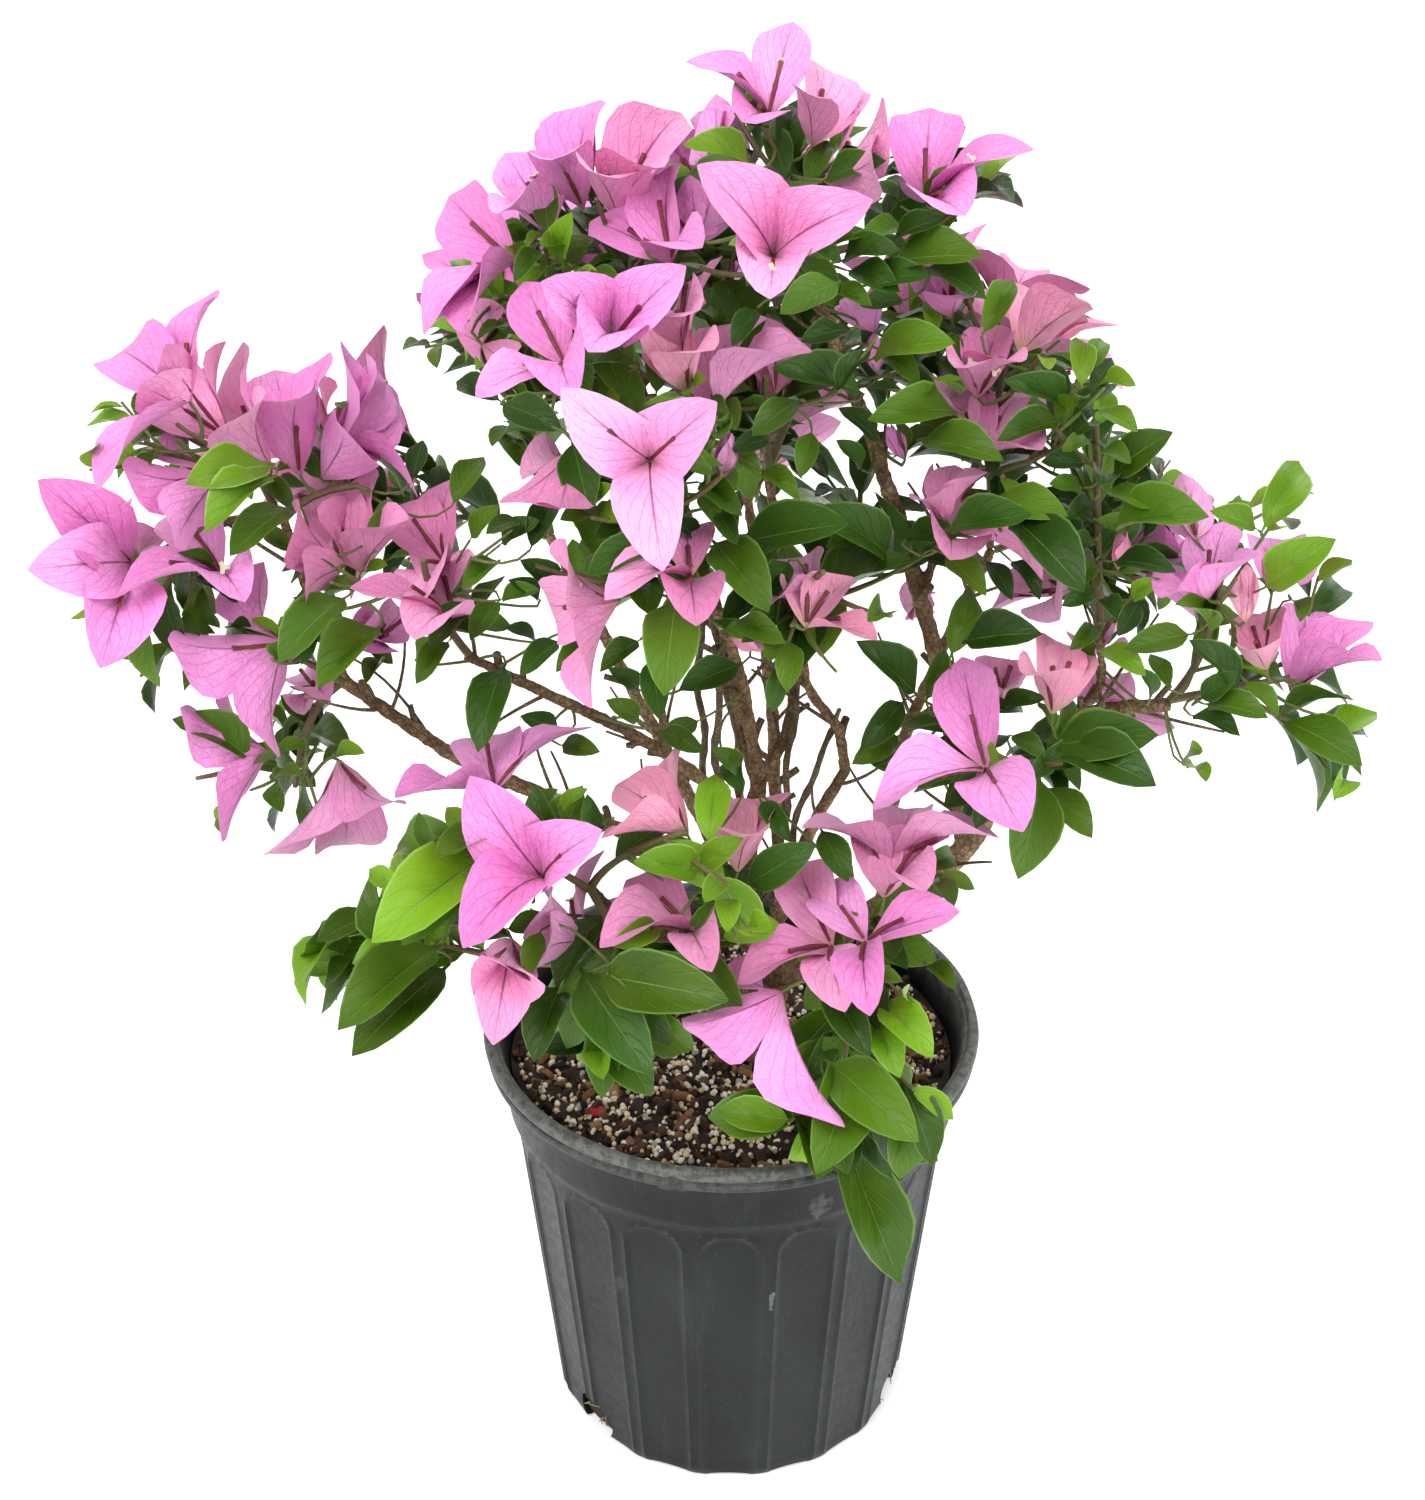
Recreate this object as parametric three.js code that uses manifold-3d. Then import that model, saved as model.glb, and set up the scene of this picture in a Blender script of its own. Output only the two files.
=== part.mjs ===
// A bougainvillea bush in bloom, standing in a round black nursery pot.
// Millimetres, +Z up, -Y is the front. The origin is the middle of the pot's flat underside.
import * as THREE from "three";
import { mergeVertices } from "three/addons/utils/BufferGeometryUtils.js";
import Module from "manifold-3d";

const wasm = await Module();
wasm.setup();

// ---- Driving dimensions -------------------------------------------------------------------

const POT = {
  height: 210,
  rimRadius: 114.5, // outside of the upper bead
  lipHeight: 13, // both beads of the rolled lip
  bandHeight: 27, // smooth band under the lip
  bandRadius: 107,
  bodyTopRadius: 102,
  bodyFootRadius: 85,
  footChamfer: 3,
  wall: 2,
  floor: 3,
  panels: 18,
  columnsPerPanel: 2,
  panelDepth: 1.4,
  panelFoot: 4,
  panelTop: 164,
  panelArch: 13, // how much lower a panel's shoulders are than its middle
};
const BAND_FOOT = POT.height - POT.lipHeight - POT.bandHeight;
const DRAIN = { count: 3, turn: -50, radius: 12, height: 9, reach: 16, sides: 10 };
const SOIL = { top: 190, bump: 1.6, flatRadius: 26, rings: 3, clearance: 0.3 };
const TRUNK = { foot: [12, 2], sides: 12, steps: 8, flare: 7, flareHeight: 16, lobes: 5 };
const JOINT_GAP = 0.35; // between a limb or stem and what it grows from
const LIMB_SIDES = 5;
const LIMB_STEP = 32;
const GOLDEN_ANGLE = THREE.MathUtils.degToRad(137.5);
const CROWN_HEART = new THREE.Vector3(0, 20, 380); // leaves and blossoms turn away from here
const REACH = new THREE.Box3(new THREE.Vector3(-283, -172, 160), new THREE.Vector3(268, 212, 661));

const TWIG = { sides: 3, radius: 2, tipRadius: 1.6, stepLength: 36, sideShare: 0.9 };
const LEAF = { width: 0.6, thick: 0.024, broad: 0.42, fold: 0.1, droop: 0.12, lean: 56 };
const HANGING_LEAF = { width: 0.36, thick: 0.016, broad: 0.4, fold: 0.06, droop: -0.06 };
const BRACT = { length: 52, width: 0.78, thick: 0.024, broad: 0.5, fold: 0.06, droop: 0.1 };
const BLOSSOM = { bracts: 3, opening: 56, openingSpread: 10, rootSpread: 0.35 };
const BLOSSOM_FACING = { heading: 0.5, out: 0.9, up: 0.3, stray: 0.8 }; // what turns it, by weight
const SIDE_SHOOT = { length: 48, lean: 52 };
const CLEARANCE = { face: 0.5, limb: 2, twig: 1, pot: 3 };
const TRIES = 8;

// ---- Limbs --------------------------------------------------------------------------------
// Each limb grows from the tip of another, or from a share of its length, through its points.

const LIMBS = [
  { name: "trunk", radius: [10, 8], via: [[12, 2, 190.3], [12, 2, 206], [22, 2, 232]] },
  { name: "right_bough_lower", from: "trunk", at: 1, radius: [7.6, 5.2],
    via: [[58, 2, 262], [98, 2, 292], [119, 0, 338]] },
  { name: "right_bough_upper", from: "right_bough_lower", at: 1, radius: [4.6, 3.4],
    via: [[142, -8, 370], [184, -18, 384]] },
  { name: "tall_cane_lower", from: "right_bough_lower", at: 0.72, radius: [4.4, 3.9],
    via: [[97, 10, 345], [86, 14, 394], [67, 6, 462]] },
  { name: "tall_cane_upper", from: "tall_cane_lower", at: 1, radius: [3.7, 2.8],
    via: [[52, 0, 505], [36, 0, 545], [28, 2, 566]] },
  { name: "cane_side", from: "tall_cane_lower", at: 0.72, radius: [2.4, 2],
    via: [[88, 2, 458], [98, 2, 478]] },
  { name: "upright_stem", from: "right_bough_upper", at: 0.45, radius: [2.3, 1.8],
    via: [[154, -16, 392], [151, -18, 418]] },
  { name: "centre_stem", from: "trunk", at: 0.95, radius: [5.6, 4.4],
    via: [[4, -2, 262], [9, 0, 312], [12, 0, 336]] },
  { name: "middle_stem_left", from: "centre_stem", at: 1, radius: [3.4, 2.5],
    via: [[5, -9, 382], [-2, -26, 418], [-10, -44, 446]] },
  { name: "middle_stem_right", from: "centre_stem", at: 0.97, radius: [3.3, 2.4],
    via: [[25, 6, 362], [22, 10, 418], [14, 2, 482]] },
  { name: "crown_left_stem", from: "centre_stem", at: 0.95, radius: [3.1, 2.3],
    via: [[-6, 12, 400], [-24, 18, 462], [-42, 4, 532]] },
  { name: "left_upper_bough", from: "centre_stem", at: 0.8, radius: [3.3, 2.4],
    via: [[-36, -14, 362], [-76, -28, 392], [-108, -42, 418]] },
  { name: "curved_stem_lower", from: "trunk", at: 0.98, radius: [4, 3],
    via: [[22, -8, 282], [38, -8, 322], [49, -7, 345]] },
  { name: "curved_stem_upper", from: "curved_stem_lower", at: 1, radius: [2.8, 2.2],
    via: [[45, -6, 364], [32, -6, 386], [28, -14, 414]] },
  { name: "left_bough", from: "trunk", at: 0.9, radius: [4.6, 3],
    via: [[-18, -8, 294], [-60, -20, 328], [-112, -28, 360], [-160, -38, 404]] },
  { name: "left_bough_upper", from: "left_bough", at: 1, radius: [2.7, 2.1],
    via: [[-172, -36, 446], [-179, -32, 474]] },
  { name: "low_left_bough", from: "trunk", at: 0.8, radius: [3.4, 2.4],
    via: [[-24, -26, 252], [-62, -44, 268], [-92, -52, 274]] },
  { name: "low_front_bough", from: "trunk", at: 0.7, radius: [3.4, 2.3],
    via: [[-12, -46, 262], [-42, -74, 308], [-58, -84, 334]] },
  { name: "low_right_bough", from: "trunk", at: 0.86, radius: [3.4, 2.3],
    via: [[36, -40, 262], [48, -70, 296]] },
  { name: "back_left_bough", from: "trunk", at: 0.88, radius: [4.2, 2.6],
    via: [[-16, 44, 292], [-62, 78, 372], [-84, 92, 410]] },
  { name: "back_bough", from: "trunk", at: 0.97, radius: [4, 2.5],
    via: [[20, 48, 306], [12, 88, 392], [4, 98, 440]] },
  { name: "back_right_bough", from: "right_bough_lower", at: 0.4, radius: [3.8, 2.5],
    via: [[78, 48, 326], [108, 86, 384], [118, 92, 404]] },
];

// ---- Sprays -------------------------------------------------------------------------------
// Each spray of leaves and blossoms grows from the tip of a limb to its own tip. shoots counts the
// main shoot and its side shoots, the first of which end in a blossom. leaves is how many each shoot
// may have, and leaf is their usual length. hangingTo is where a leaf at the main shoot's end hangs to.
// facing and turn, in degrees, pose the blossom at the main shoot's end.

const SPRAYS = [
  { name: "spray_top", from: "tall_cane_upper", tip: [30, 14, 598],
    blossoms: 3, shoots: 3, leaves: 1, leaf: 46 },
  { name: "spray_top_right", from: "tall_cane_upper", tip: [80, 16, 570],
    blossoms: 3, shoots: 3, leaves: 1, leaf: 48 },
  { name: "spray_crown_front", from: "tall_cane_upper", tip: [14, -58, 580],
    blossoms: 1, shoots: 3, leaves: 2, leaf: 50,
    facing: [0, -0.85, 0.5], turn: -85 },
  { name: "spray_top_left", from: "crown_left_stem", tip: [-42, 4, 580],
    blossoms: 4, shoots: 4, leaves: 1, leaf: 44 },
  { name: "spray_upper_left", from: "crown_left_stem", tip: [-92, -10, 558],
    blossoms: 3, shoots: 3, leaves: 1, leaf: 44 },
  { name: "spray_upper_front", from: "crown_left_stem", tip: [-58, -66, 562],
    blossoms: 3, shoots: 3, leaves: 1, leaf: 46,
    facing: [-0.25, -0.85, 0.45], turn: 100 },
  { name: "spray_upper_centre", from: "middle_stem_right", tip: [12, -52, 542],
    blossoms: 2, shoots: 3, leaves: 2, leaf: 48,
    facing: [0.2, -0.9, 0.35], turn: 30 },
  { name: "spray_upper_inner", from: "middle_stem_right", tip: [46, 30, 532],
    blossoms: 1, shoots: 3, leaves: 2, leaf: 50 },
  { name: "spray_centre_front", from: "middle_stem_left", tip: [-32, -112, 528],
    blossoms: 1, shoots: 3, leaves: 2, leaf: 54,
    facing: [-0.05, -0.9, 0.4], turn: -90 },
  { name: "spray_centre_left", from: "middle_stem_left", tip: [-56, -104, 478],
    blossoms: 2, shoots: 3, leaves: 2, leaf: 52 },
  { name: "spray_centre_right", from: "curved_stem_upper", tip: [34, -84, 476],
    blossoms: 1, shoots: 3, leaves: 2, leaf: 56 },
  { name: "spray_centre_back", from: "curved_stem_upper", tip: [58, 8, 436],
    blossoms: 1, shoots: 3, leaves: 2, leaf: 48 },
  { name: "spray_left_middle", from: "left_upper_bough", tip: [-120, -62, 470],
    blossoms: 2, shoots: 4, leaves: 2, leaf: 50 },
  { name: "spray_left_inner", from: "left_bough_upper", tip: [-150, -18, 482],
    blossoms: 4, shoots: 4, leaves: 1, leaf: 42 },
  { name: "spray_left_outer", from: "left_bough_upper", tip: [-194, -28, 502],
    blossoms: 4, shoots: 4, leaves: 1, leaf: 44 },
  { name: "spray_far_left", from: "left_bough_upper", tip: [-243, -42, 452],
    blossoms: 3, shoots: 3, leaves: 1, leaf: 44,
    facing: [-0.35, -0.75, 0.55], turn: 0 },
  { name: "spray_left_low", from: "left_bough", tip: [-178, -52, 424],
    blossoms: 2, shoots: 3, leaves: 2, leaf: 50 },
  { name: "spray_left_hanging", from: "left_bough", tip: [-182, -46, 358],
    blossoms: 3, shoots: 3, leaves: 1, leaf: 44 },
  { name: "spray_low_left", from: "low_left_bough", tip: [-128, -62, 292],
    blossoms: 0, shoots: 3, leaves: 3, leaf: 64 },
  { name: "spray_lower_left", from: "low_front_bough", tip: [-84, -108, 366],
    blossoms: 3, shoots: 3, leaves: 1, leaf: 52,
    facing: [-0.2, -0.9, 0.4], turn: 75 },
  { name: "spray_low_centre", from: "low_front_bough", tip: [-18, -96, 368],
    blossoms: 2, shoots: 3, leaves: 2, leaf: 48,
    facing: [-0.1, -0.8, 0.6], turn: 80 },
  { name: "spray_low_front", from: "low_front_bough", tip: [-34, -114, 312],
    blossoms: 2, shoots: 3, leaves: 2, leaf: 60 },
  { name: "spray_low_right", from: "low_right_bough", tip: [60, -100, 332],
    blossoms: 3, shoots: 3, leaves: 1, leaf: 52,
    facing: [0.15, -0.9, 0.4], turn: 60 },
  { name: "spray_pot_front", from: "low_right_bough", tip: [44, -117, 240],
    blossoms: 1, shoots: 3, leaves: 2, leaf: 66, hangingTo: [72, -135, 168] },
  { name: "spray_right_front", from: "right_bough_lower", tip: [98, -78, 384],
    blossoms: 1, shoots: 3, leaves: 2, leaf: 52,
    facing: [0.05, -0.9, 0.35], turn: 90 },
  { name: "spray_right_middle", from: "cane_side", tip: [106, -30, 492],
    blossoms: 2, shoots: 3, leaves: 2, leaf: 50 },
  { name: "spray_right_upper", from: "cane_side", tip: [110, 6, 534],
    blossoms: 3, shoots: 3, leaves: 1, leaf: 46 },
  { name: "spray_upright", from: "upright_stem", tip: [142, -22, 512],
    blossoms: 0, shoots: 3, leaves: 5, leaf: 46 },
  { name: "spray_right_end", from: "right_bough_upper", tip: [198, -18, 444],
    blossoms: 2, shoots: 3, leaves: 2, leaf: 50 },
  { name: "spray_far_right", from: "right_bough_upper", tip: [230, -28, 402],
    blossoms: 2, shoots: 3, leaves: 2, leaf: 52,
    facing: [0.35, -0.75, 0.55], turn: 10 },
  { name: "spray_back_left_high", from: "back_left_bough", tip: [-86, 104, 490],
    blossoms: 3, shoots: 4, leaves: 2, leaf: 52 },
  { name: "spray_back_left_low", from: "back_left_bough", tip: [-150, 104, 410],
    blossoms: 2, shoots: 4, leaves: 2, leaf: 52 },
  { name: "spray_back_high", from: "back_bough", tip: [-8, 98, 540],
    blossoms: 3, shoots: 4, leaves: 2, leaf: 52 },
  { name: "spray_back_low", from: "back_bough", tip: [4, 156, 436],
    blossoms: 2, shoots: 4, leaves: 2, leaf: 54 },
  { name: "spray_back_right_high", from: "back_right_bough", tip: [100, 100, 490],
    blossoms: 3, shoots: 4, leaves: 2, leaf: 52 },
  { name: "spray_back_right_low", from: "back_right_bough", tip: [166, 94, 404],
    blossoms: 2, shoots: 4, leaves: 2, leaf: 52 },
];

// ---- Finishes -----------------------------------------------------------------------------

const FINISH = {
  pot: new THREE.MeshStandardMaterial({ color: 0x3a3f40, roughness: 0.55, metalness: 0 }),
  soil: new THREE.MeshStandardMaterial({ color: 0x33251c, roughness: 1, metalness: 0 }),
  bark: new THREE.MeshStandardMaterial({ color: 0x6e5740, roughness: 0.9, metalness: 0 }),
  foliage: new THREE.MeshStandardMaterial({ color: 0x4c7a2b, roughness: 0.5, metalness: 0 }),
  blossom: new THREE.MeshStandardMaterial({ color: 0xd983c8, roughness: 0.6, metalness: 0 }),
};

// ---- Seeded chance ------------------------------------------------------------------------

// Always the same number from 0 to 1 for the same spray, shoot and draw.
function chance(spray, shoot, draw) {
  let h = Math.imul(spray + 1, 374761393);
  h = Math.imul(h ^ (shoot + 1), 668265263);
  h = Math.imul(h ^ (h >>> 15) ^ (draw + 1), 1274126177);
  h = Math.imul(h ^ (h >>> 13), 2246822519);
  return ((h ^ (h >>> 16)) >>> 0) / 4294967296;
}

// A seeded number from low to high.
function between(low, high, ...keys) {
  return low + (high - low) * chance(...keys);
}

// ---- Solids -------------------------------------------------------------------------------

// A closed geometry as a manifold solid, ready to be joined or cut.
function solidOf(geometry) {
  const bare = geometry.clone();
  bare.deleteAttribute("normal");
  bare.deleteAttribute("uv");
  const merged = mergeVertices(bare, 1e-3);
  return new wasm.Manifold(new wasm.Mesh({
    numProp: 3,
    vertProperties: new Float32Array(merged.attributes.position.array),
    triVerts: new Uint32Array(merged.index.array),
  }));
}

// The largest body of a solid as a geometry.
function geometryOf(solid) {
  const largest = solid.decompose().sort((a, b) => b.volume() - a.volume())[0];
  const mesh = largest.getMesh();
  return new THREE.BufferGeometry()
    .setAttribute("position", new THREE.BufferAttribute(mesh.vertProperties, 3))
    .setIndex(new THREE.BufferAttribute(mesh.triVerts, 1));
}

function named(name, geometry, material) {
  const mesh = new THREE.Mesh(geometry, material);
  mesh.name = name;
  return mesh;
}

// Two directions square to a third.
function crossDirections(direction) {
  const helper = Math.abs(direction.z) < 0.9 ? new THREE.Vector3(0, 0, 1) : new THREE.Vector3(1, 0, 0);
  const side = new THREE.Vector3().crossVectors(direction, helper).normalize();
  return [side, new THREE.Vector3().crossVectors(side, direction).normalize()];
}

// A closed tube along a curve: a cylinder whose rings are moved onto the curve.
// radiusAt(share, angle) gives the radius at a share of the length and an angle round it.
function tubeGeometry(curve, radiusAt, sides, steps) {
  const geometry = new THREE.CylinderGeometry(1, 1, 1, sides, steps);
  const frames = curve.computeFrenetFrames(steps, false);
  const position = geometry.attributes.position;
  const point = new THREE.Vector3();
  for (let i = 0; i < position.count; i++) {
    const ring = Math.round((0.5 - position.getY(i)) * steps);
    const share = ring / steps;
    const [x, z] = [position.getX(i), position.getZ(i)];
    const angle = Math.atan2(z, x);
    const radius = Math.hypot(x, z) * radiusAt(share, angle);
    curve.getPointAt(share, point);
    point.addScaledVector(frames.normals[ring], radius * Math.cos(angle));
    point.addScaledVector(frames.binormals[ring], radius * Math.sin(angle));
    position.setXYZ(i, point.x, point.y, point.z);
  }
  return outwards(geometry);
}

// The same geometry with its faces pointing out.
function outwards(geometry) {
  if (solidOf(geometry).volume() < 0) {
    const index = geometry.index.array;
    for (let i = 0; i < index.length; i += 3) [index[i + 1], index[i + 2]] = [index[i + 2], index[i + 1]];
  }
  return geometry;
}

// ---- Pot and soil -------------------------------------------------------------------------

function bodyRadius(z) {
  const share = z / BAND_FOOT;
  return THREE.MathUtils.lerp(POT.bodyFootRadius, POT.bodyTopRadius, share);
}

// How far an arched panel is pressed in, from 0 to 1, at a height and an angle.
function panelShare(z, angle) {
  const turns = (angle * POT.panels) / (2 * Math.PI);
  const off = 2 * Math.abs(turns - Math.round(turns)); // 0 at a panel's middle, 1 at a rib
  const top = POT.panelTop - POT.panelArch * off * off;
  return z > top || z < POT.panelFoot ? 0 : 1 - off * off;
}

function potGeometry() {
  const lipFoot = POT.height - POT.lipHeight;
  const groove = POT.height - POT.lipHeight / 2;
  const { panelFoot, panelTop, panelArch } = POT;
  const shoulders = [panelFoot, panelTop - panelArch, panelTop - panelArch / 4, panelTop];
  const profile = [
    [0, 0], [bodyRadius(0) - POT.footChamfer, 0], [bodyRadius(0), POT.footChamfer],
    ...shoulders.map((z) => [bodyRadius(z), z]),
    [POT.bodyTopRadius, BAND_FOOT - 2], [POT.bodyTopRadius + 1.5, BAND_FOOT], [POT.bandRadius, lipFoot],
    [POT.rimRadius - 2, lipFoot], [POT.rimRadius - 1, groove - 1], [POT.rimRadius - 2, groove],
    [POT.rimRadius, groove + 1], [POT.rimRadius, POT.height - 2], [POT.rimRadius - 2, POT.height],
    [POT.bandRadius, POT.height], [innerRadius(BAND_FOOT), BAND_FOOT],
    [innerRadius(POT.floor), POT.floor], [0, POT.floor],
  ].map(([r, z]) => new THREE.Vector2(r, z));
  const geometry = new THREE.LatheGeometry(profile, POT.panels * POT.columnsPerPanel).rotateX(Math.PI / 2);
  const position = geometry.attributes.position;
  for (let i = 0; i < position.count; i++) {
    const [x, y, z] = [position.getX(i), position.getY(i), position.getZ(i)];
    const radius = Math.hypot(x, y);
    if (radius < bodyRadius(z) - 0.1) continue;
    const pressed = POT.panelDepth * panelShare(z, Math.atan2(x, -y));
    position.setX(i, x * (1 - pressed / radius));
    position.setY(i, y * (1 - pressed / radius));
  }
  return outwards(geometry);
}

// The inner wall's radius at a height: behind the panels, then widening to the rim.
function innerRadius(z) {
  const body = bodyRadius(z) - POT.wall - POT.panelDepth;
  const waist = bodyRadius(BAND_FOOT) - POT.wall - POT.panelDepth;
  return z < BAND_FOOT ? body : THREE.MathUtils.mapLinear(z, BAND_FOOT, POT.height, waist, POT.bandRadius);
}

// The round drain holes through the corner between wall and floor.
function drainCutters() {
  return Array.from({ length: DRAIN.count }, (_, i) => {
    const turn = THREE.MathUtils.degToRad(DRAIN.turn) + (i * 2 * Math.PI) / DRAIN.count;
    return solidOf(new THREE.CylinderGeometry(DRAIN.radius, DRAIN.radius, DRAIN.reach, DRAIN.sides)
      .translate(0, DRAIN.reach / 2 - bodyRadius(0) - POT.footChamfer, DRAIN.height)
      .rotateZ(turn));
  });
}

function makePot() {
  const solid = drainCutters().reduce((pot, cutter) => pot.subtract(cutter), solidOf(potGeometry()));
  return named("nursery_pot", geometryOf(solid), FINISH.pot);
}

// The potting mix: fills the pot to below the rim, with a slightly uneven top.
function makeSoil() {
  const floor = POT.floor + SOIL.clearance;
  const topRadius = innerRadius(SOIL.top) - SOIL.clearance;
  const top = Array.from({ length: SOIL.rings }, (_, i) => [topRadius * (1 - i / SOIL.rings), SOIL.top]);
  const wall = [floor, BAND_FOOT].map((z) => [innerRadius(z) - SOIL.clearance, z]);
  const profile = [[0, floor], ...wall, ...top, [0, SOIL.top]].map(([r, z]) => new THREE.Vector2(r, z));
  const geometry = new THREE.LatheGeometry(profile, POT.panels * POT.columnsPerPanel).rotateX(Math.PI / 2);
  const position = geometry.attributes.position;
  for (let i = 0; i < position.count; i++) {
    const [x, y, z] = [position.getX(i), position.getY(i), position.getZ(i)];
    const fromTrunk = Math.hypot(x - TRUNK.foot[0], y - TRUNK.foot[1]);
    if (z < SOIL.top - 1 || fromTrunk < SOIL.flatRadius || Math.hypot(x, y) > topRadius - 1) continue;
    position.setZ(i, z + SOIL.bump * Math.sin(x * 0.09 + 1) * Math.cos(y * 0.11));
  }
  return named("potting_soil", outwards(geometry), FINISH.soil);
}

// ---- Limbs --------------------------------------------------------------------------------

const vector = (list) => new THREE.Vector3(...list);
const limbs = new Map();

// The limb's centre line, starting on the centre line of what it grows from.
function growLimb(plan) {
  const points = plan.via.map(vector);
  if (plan.from) points.unshift(limbs.get(plan.from).curve.getPointAt(Math.min(plan.at, 0.995)));
  const curve = new THREE.CatmullRomCurve3(points, false, "centripetal");
  const steps = Math.max(3, Math.round(curve.getLength() / LIMB_STEP));
  limbs.set(plan.name, { ...plan, curve, steps, path: curve.getSpacedPoints(steps * 2) });
}

// A limb's solid, thicker all round by the given amount.
function limbSolid(limb, grown = 0) {
  const [foot, tip] = limb.radius;
  if (limb.name === "trunk") return solidOf(trunkGeometry(limb, grown));
  const taper = (share) => THREE.MathUtils.lerp(foot, tip, share) + grown;
  const curve = grown ? lengthened(limb.curve, grown) : limb.curve;
  return solidOf(tubeGeometry(curve, taper, LIMB_SIDES, limb.steps));
}

// The trunk flares in lobes where it meets the soil, and its foot is cut flat.
function trunkGeometry(limb, grown) {
  const [foot, tip] = limb.radius;
  const length = limb.curve.getLength();
  const radiusAt = (share, angle) => {
    const flare = TRUNK.flare * Math.exp((-share * length) / TRUNK.flareHeight);
    return THREE.MathUtils.lerp(foot, tip, share) + grown + flare * (1 + 0.3 * Math.cos(TRUNK.lobes * angle));
  };
  return tubeGeometry(limb.curve, radiusAt, TRUNK.sides, TRUNK.steps);
}

// The same curve with its tip moved on a little.
function lengthened(curve, extra) {
  const points = curve.points.map((p) => p.clone());
  const last = points.length - 1;
  points[last].addScaledVector(curve.getTangentAt(1), extra);
  return new THREE.CatmullRomCurve3(points, false, "centripetal");
}

function makeLimbs() {
  LIMBS.forEach(growLimb);
  const made = [];
  const grownSolids = [];
  for (const limb of limbs.values()) {
    const whole = limbSolid(limb);
    const cut = grownSolids.reduce((solid, other) => solid.subtract(other), whole);
    made.push(named(limb.name, geometryOf(cut), FINISH.bark));
    grownSolids.push(limbSolid(limb, JOINT_GAP));
  }
  return { made, grownSolids };
}

// ---- Room ---------------------------------------------------------------------------------

const lines = []; // limbs and twigs
const blades = []; // leaves and bracts already placed

// A limb, with spray -1, or a twig: its centre line's points, its radius at foot and tip, and its box.
function makeLine(points, radius, spray) {
  const box = new THREE.Box3().setFromPoints(points).expandByScalar(Math.max(...radius) + CLEARANCE.limb);
  return { points, radius, spray, box };
}

// How far a point is from a limb's or twig's skin.
function distanceToLine(point, line) {
  const foot = new THREE.Vector3();
  const last = line.points.length - 1;
  return Math.min(...line.points.slice(1).map((end, i) => {
    new THREE.Line3(line.points[i], end).closestPointToPoint(point, true, foot);
    return foot.distanceTo(point) - THREE.MathUtils.lerp(...line.radius, (i + 0.5) / last);
  }));
}

// Whether a point is clear of the pot's wall, its rim and the soil.
function clearOfPot(point) {
  const radius = Math.hypot(point.x, point.y);
  if (point.z > POT.height + CLEARANCE.pot || radius > POT.rimRadius + CLEARANCE.pot) return true;
  return radius < innerRadius(SOIL.top) - CLEARANCE.pot && point.z > SOIL.top + SOIL.bump + CLEARANCE.pot;
}

// Whether the straight line from one point to another passes through a triangle.
function pierces(from, to, triangle) {
  const ray = new THREE.Ray(from, to.clone().sub(from).normalize());
  const hit = ray.intersectTriangle(triangle.a, triangle.b, triangle.c, false, new THREE.Vector3());
  return hit !== null && hit.distanceTo(from) < from.distanceTo(to);
}

// Whether the edges of one blade pass through the other's faces.
function crosses(one, other) {
  return one.edges.some(({ start, end }) => other.faces.some((face) => pierces(start, end, face)));
}

// Whether a blade touches a limb or twig, or comes nearer to its skin than it may.
function nears(blade, line) {
  const foot = new THREE.Vector3();
  const least = line.spray < 0 ? CLEARANCE.limb : CLEARANCE.twig;
  const reach = Math.max(...line.radius) + least;
  return line.box.intersectsBox(blade.box) && line.points.slice(1).some((end, i) => {
    const stretch = new THREE.Line3(line.points[i], end);
    return blade.edges.some((edge) => edge.distanceSqToLine3(stretch) < reach * reach)
      || blade.faces.some((face) => (
        face.closestPointToPoint(end, foot).distanceTo(end) < reach || pierces(stretch.start, end, face)
      ));
  });
}

function bladeHasRoom(blade, family, ownLine) {
  return blade.points.every((point) => REACH.containsPoint(point) && clearOfPot(point))
    && lines.every((line) => line === ownLine || !nears(blade, line))
    && blades.every((other) => other.family === family || !other.box.intersectsBox(blade.box)
      || (!crosses(blade, other) && !crosses(other, blade)));
}

function twigHasRoom(line) {
  if (!line.points.every((point) => REACH.containsPoint(point) && clearOfPot(point))) return false;
  const least = line.radius[0] + CLEARANCE.twig;
  return lines.every((other) => other.spray === line.spray
    || line.points.every((point) => distanceToLine(point, other) > least));
}

// ---- Sprays -------------------------------------------------------------------------------

// A direction leaned away from an axis: by an angle in degrees, and a turn round it in radians.
function leaned(axis, lean, turn) {
  const [side, over] = crossDirections(axis);
  const angle = THREE.MathUtils.degToRad(lean);
  return axis.clone().multiplyScalar(Math.cos(angle))
    .addScaledVector(side, Math.sin(angle) * Math.cos(turn))
    .addScaledVector(over, Math.sin(angle) * Math.sin(turn));
}

// Which way light comes from, at a point of the crown: up, and out from its heart.
function lightAt(point) {
  const out = point.clone().sub(CROWN_HEART).normalize();
  return out.multiplyScalar(0.6).add(new THREE.Vector3(0, 0, 0.75)).normalize();
}

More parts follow.
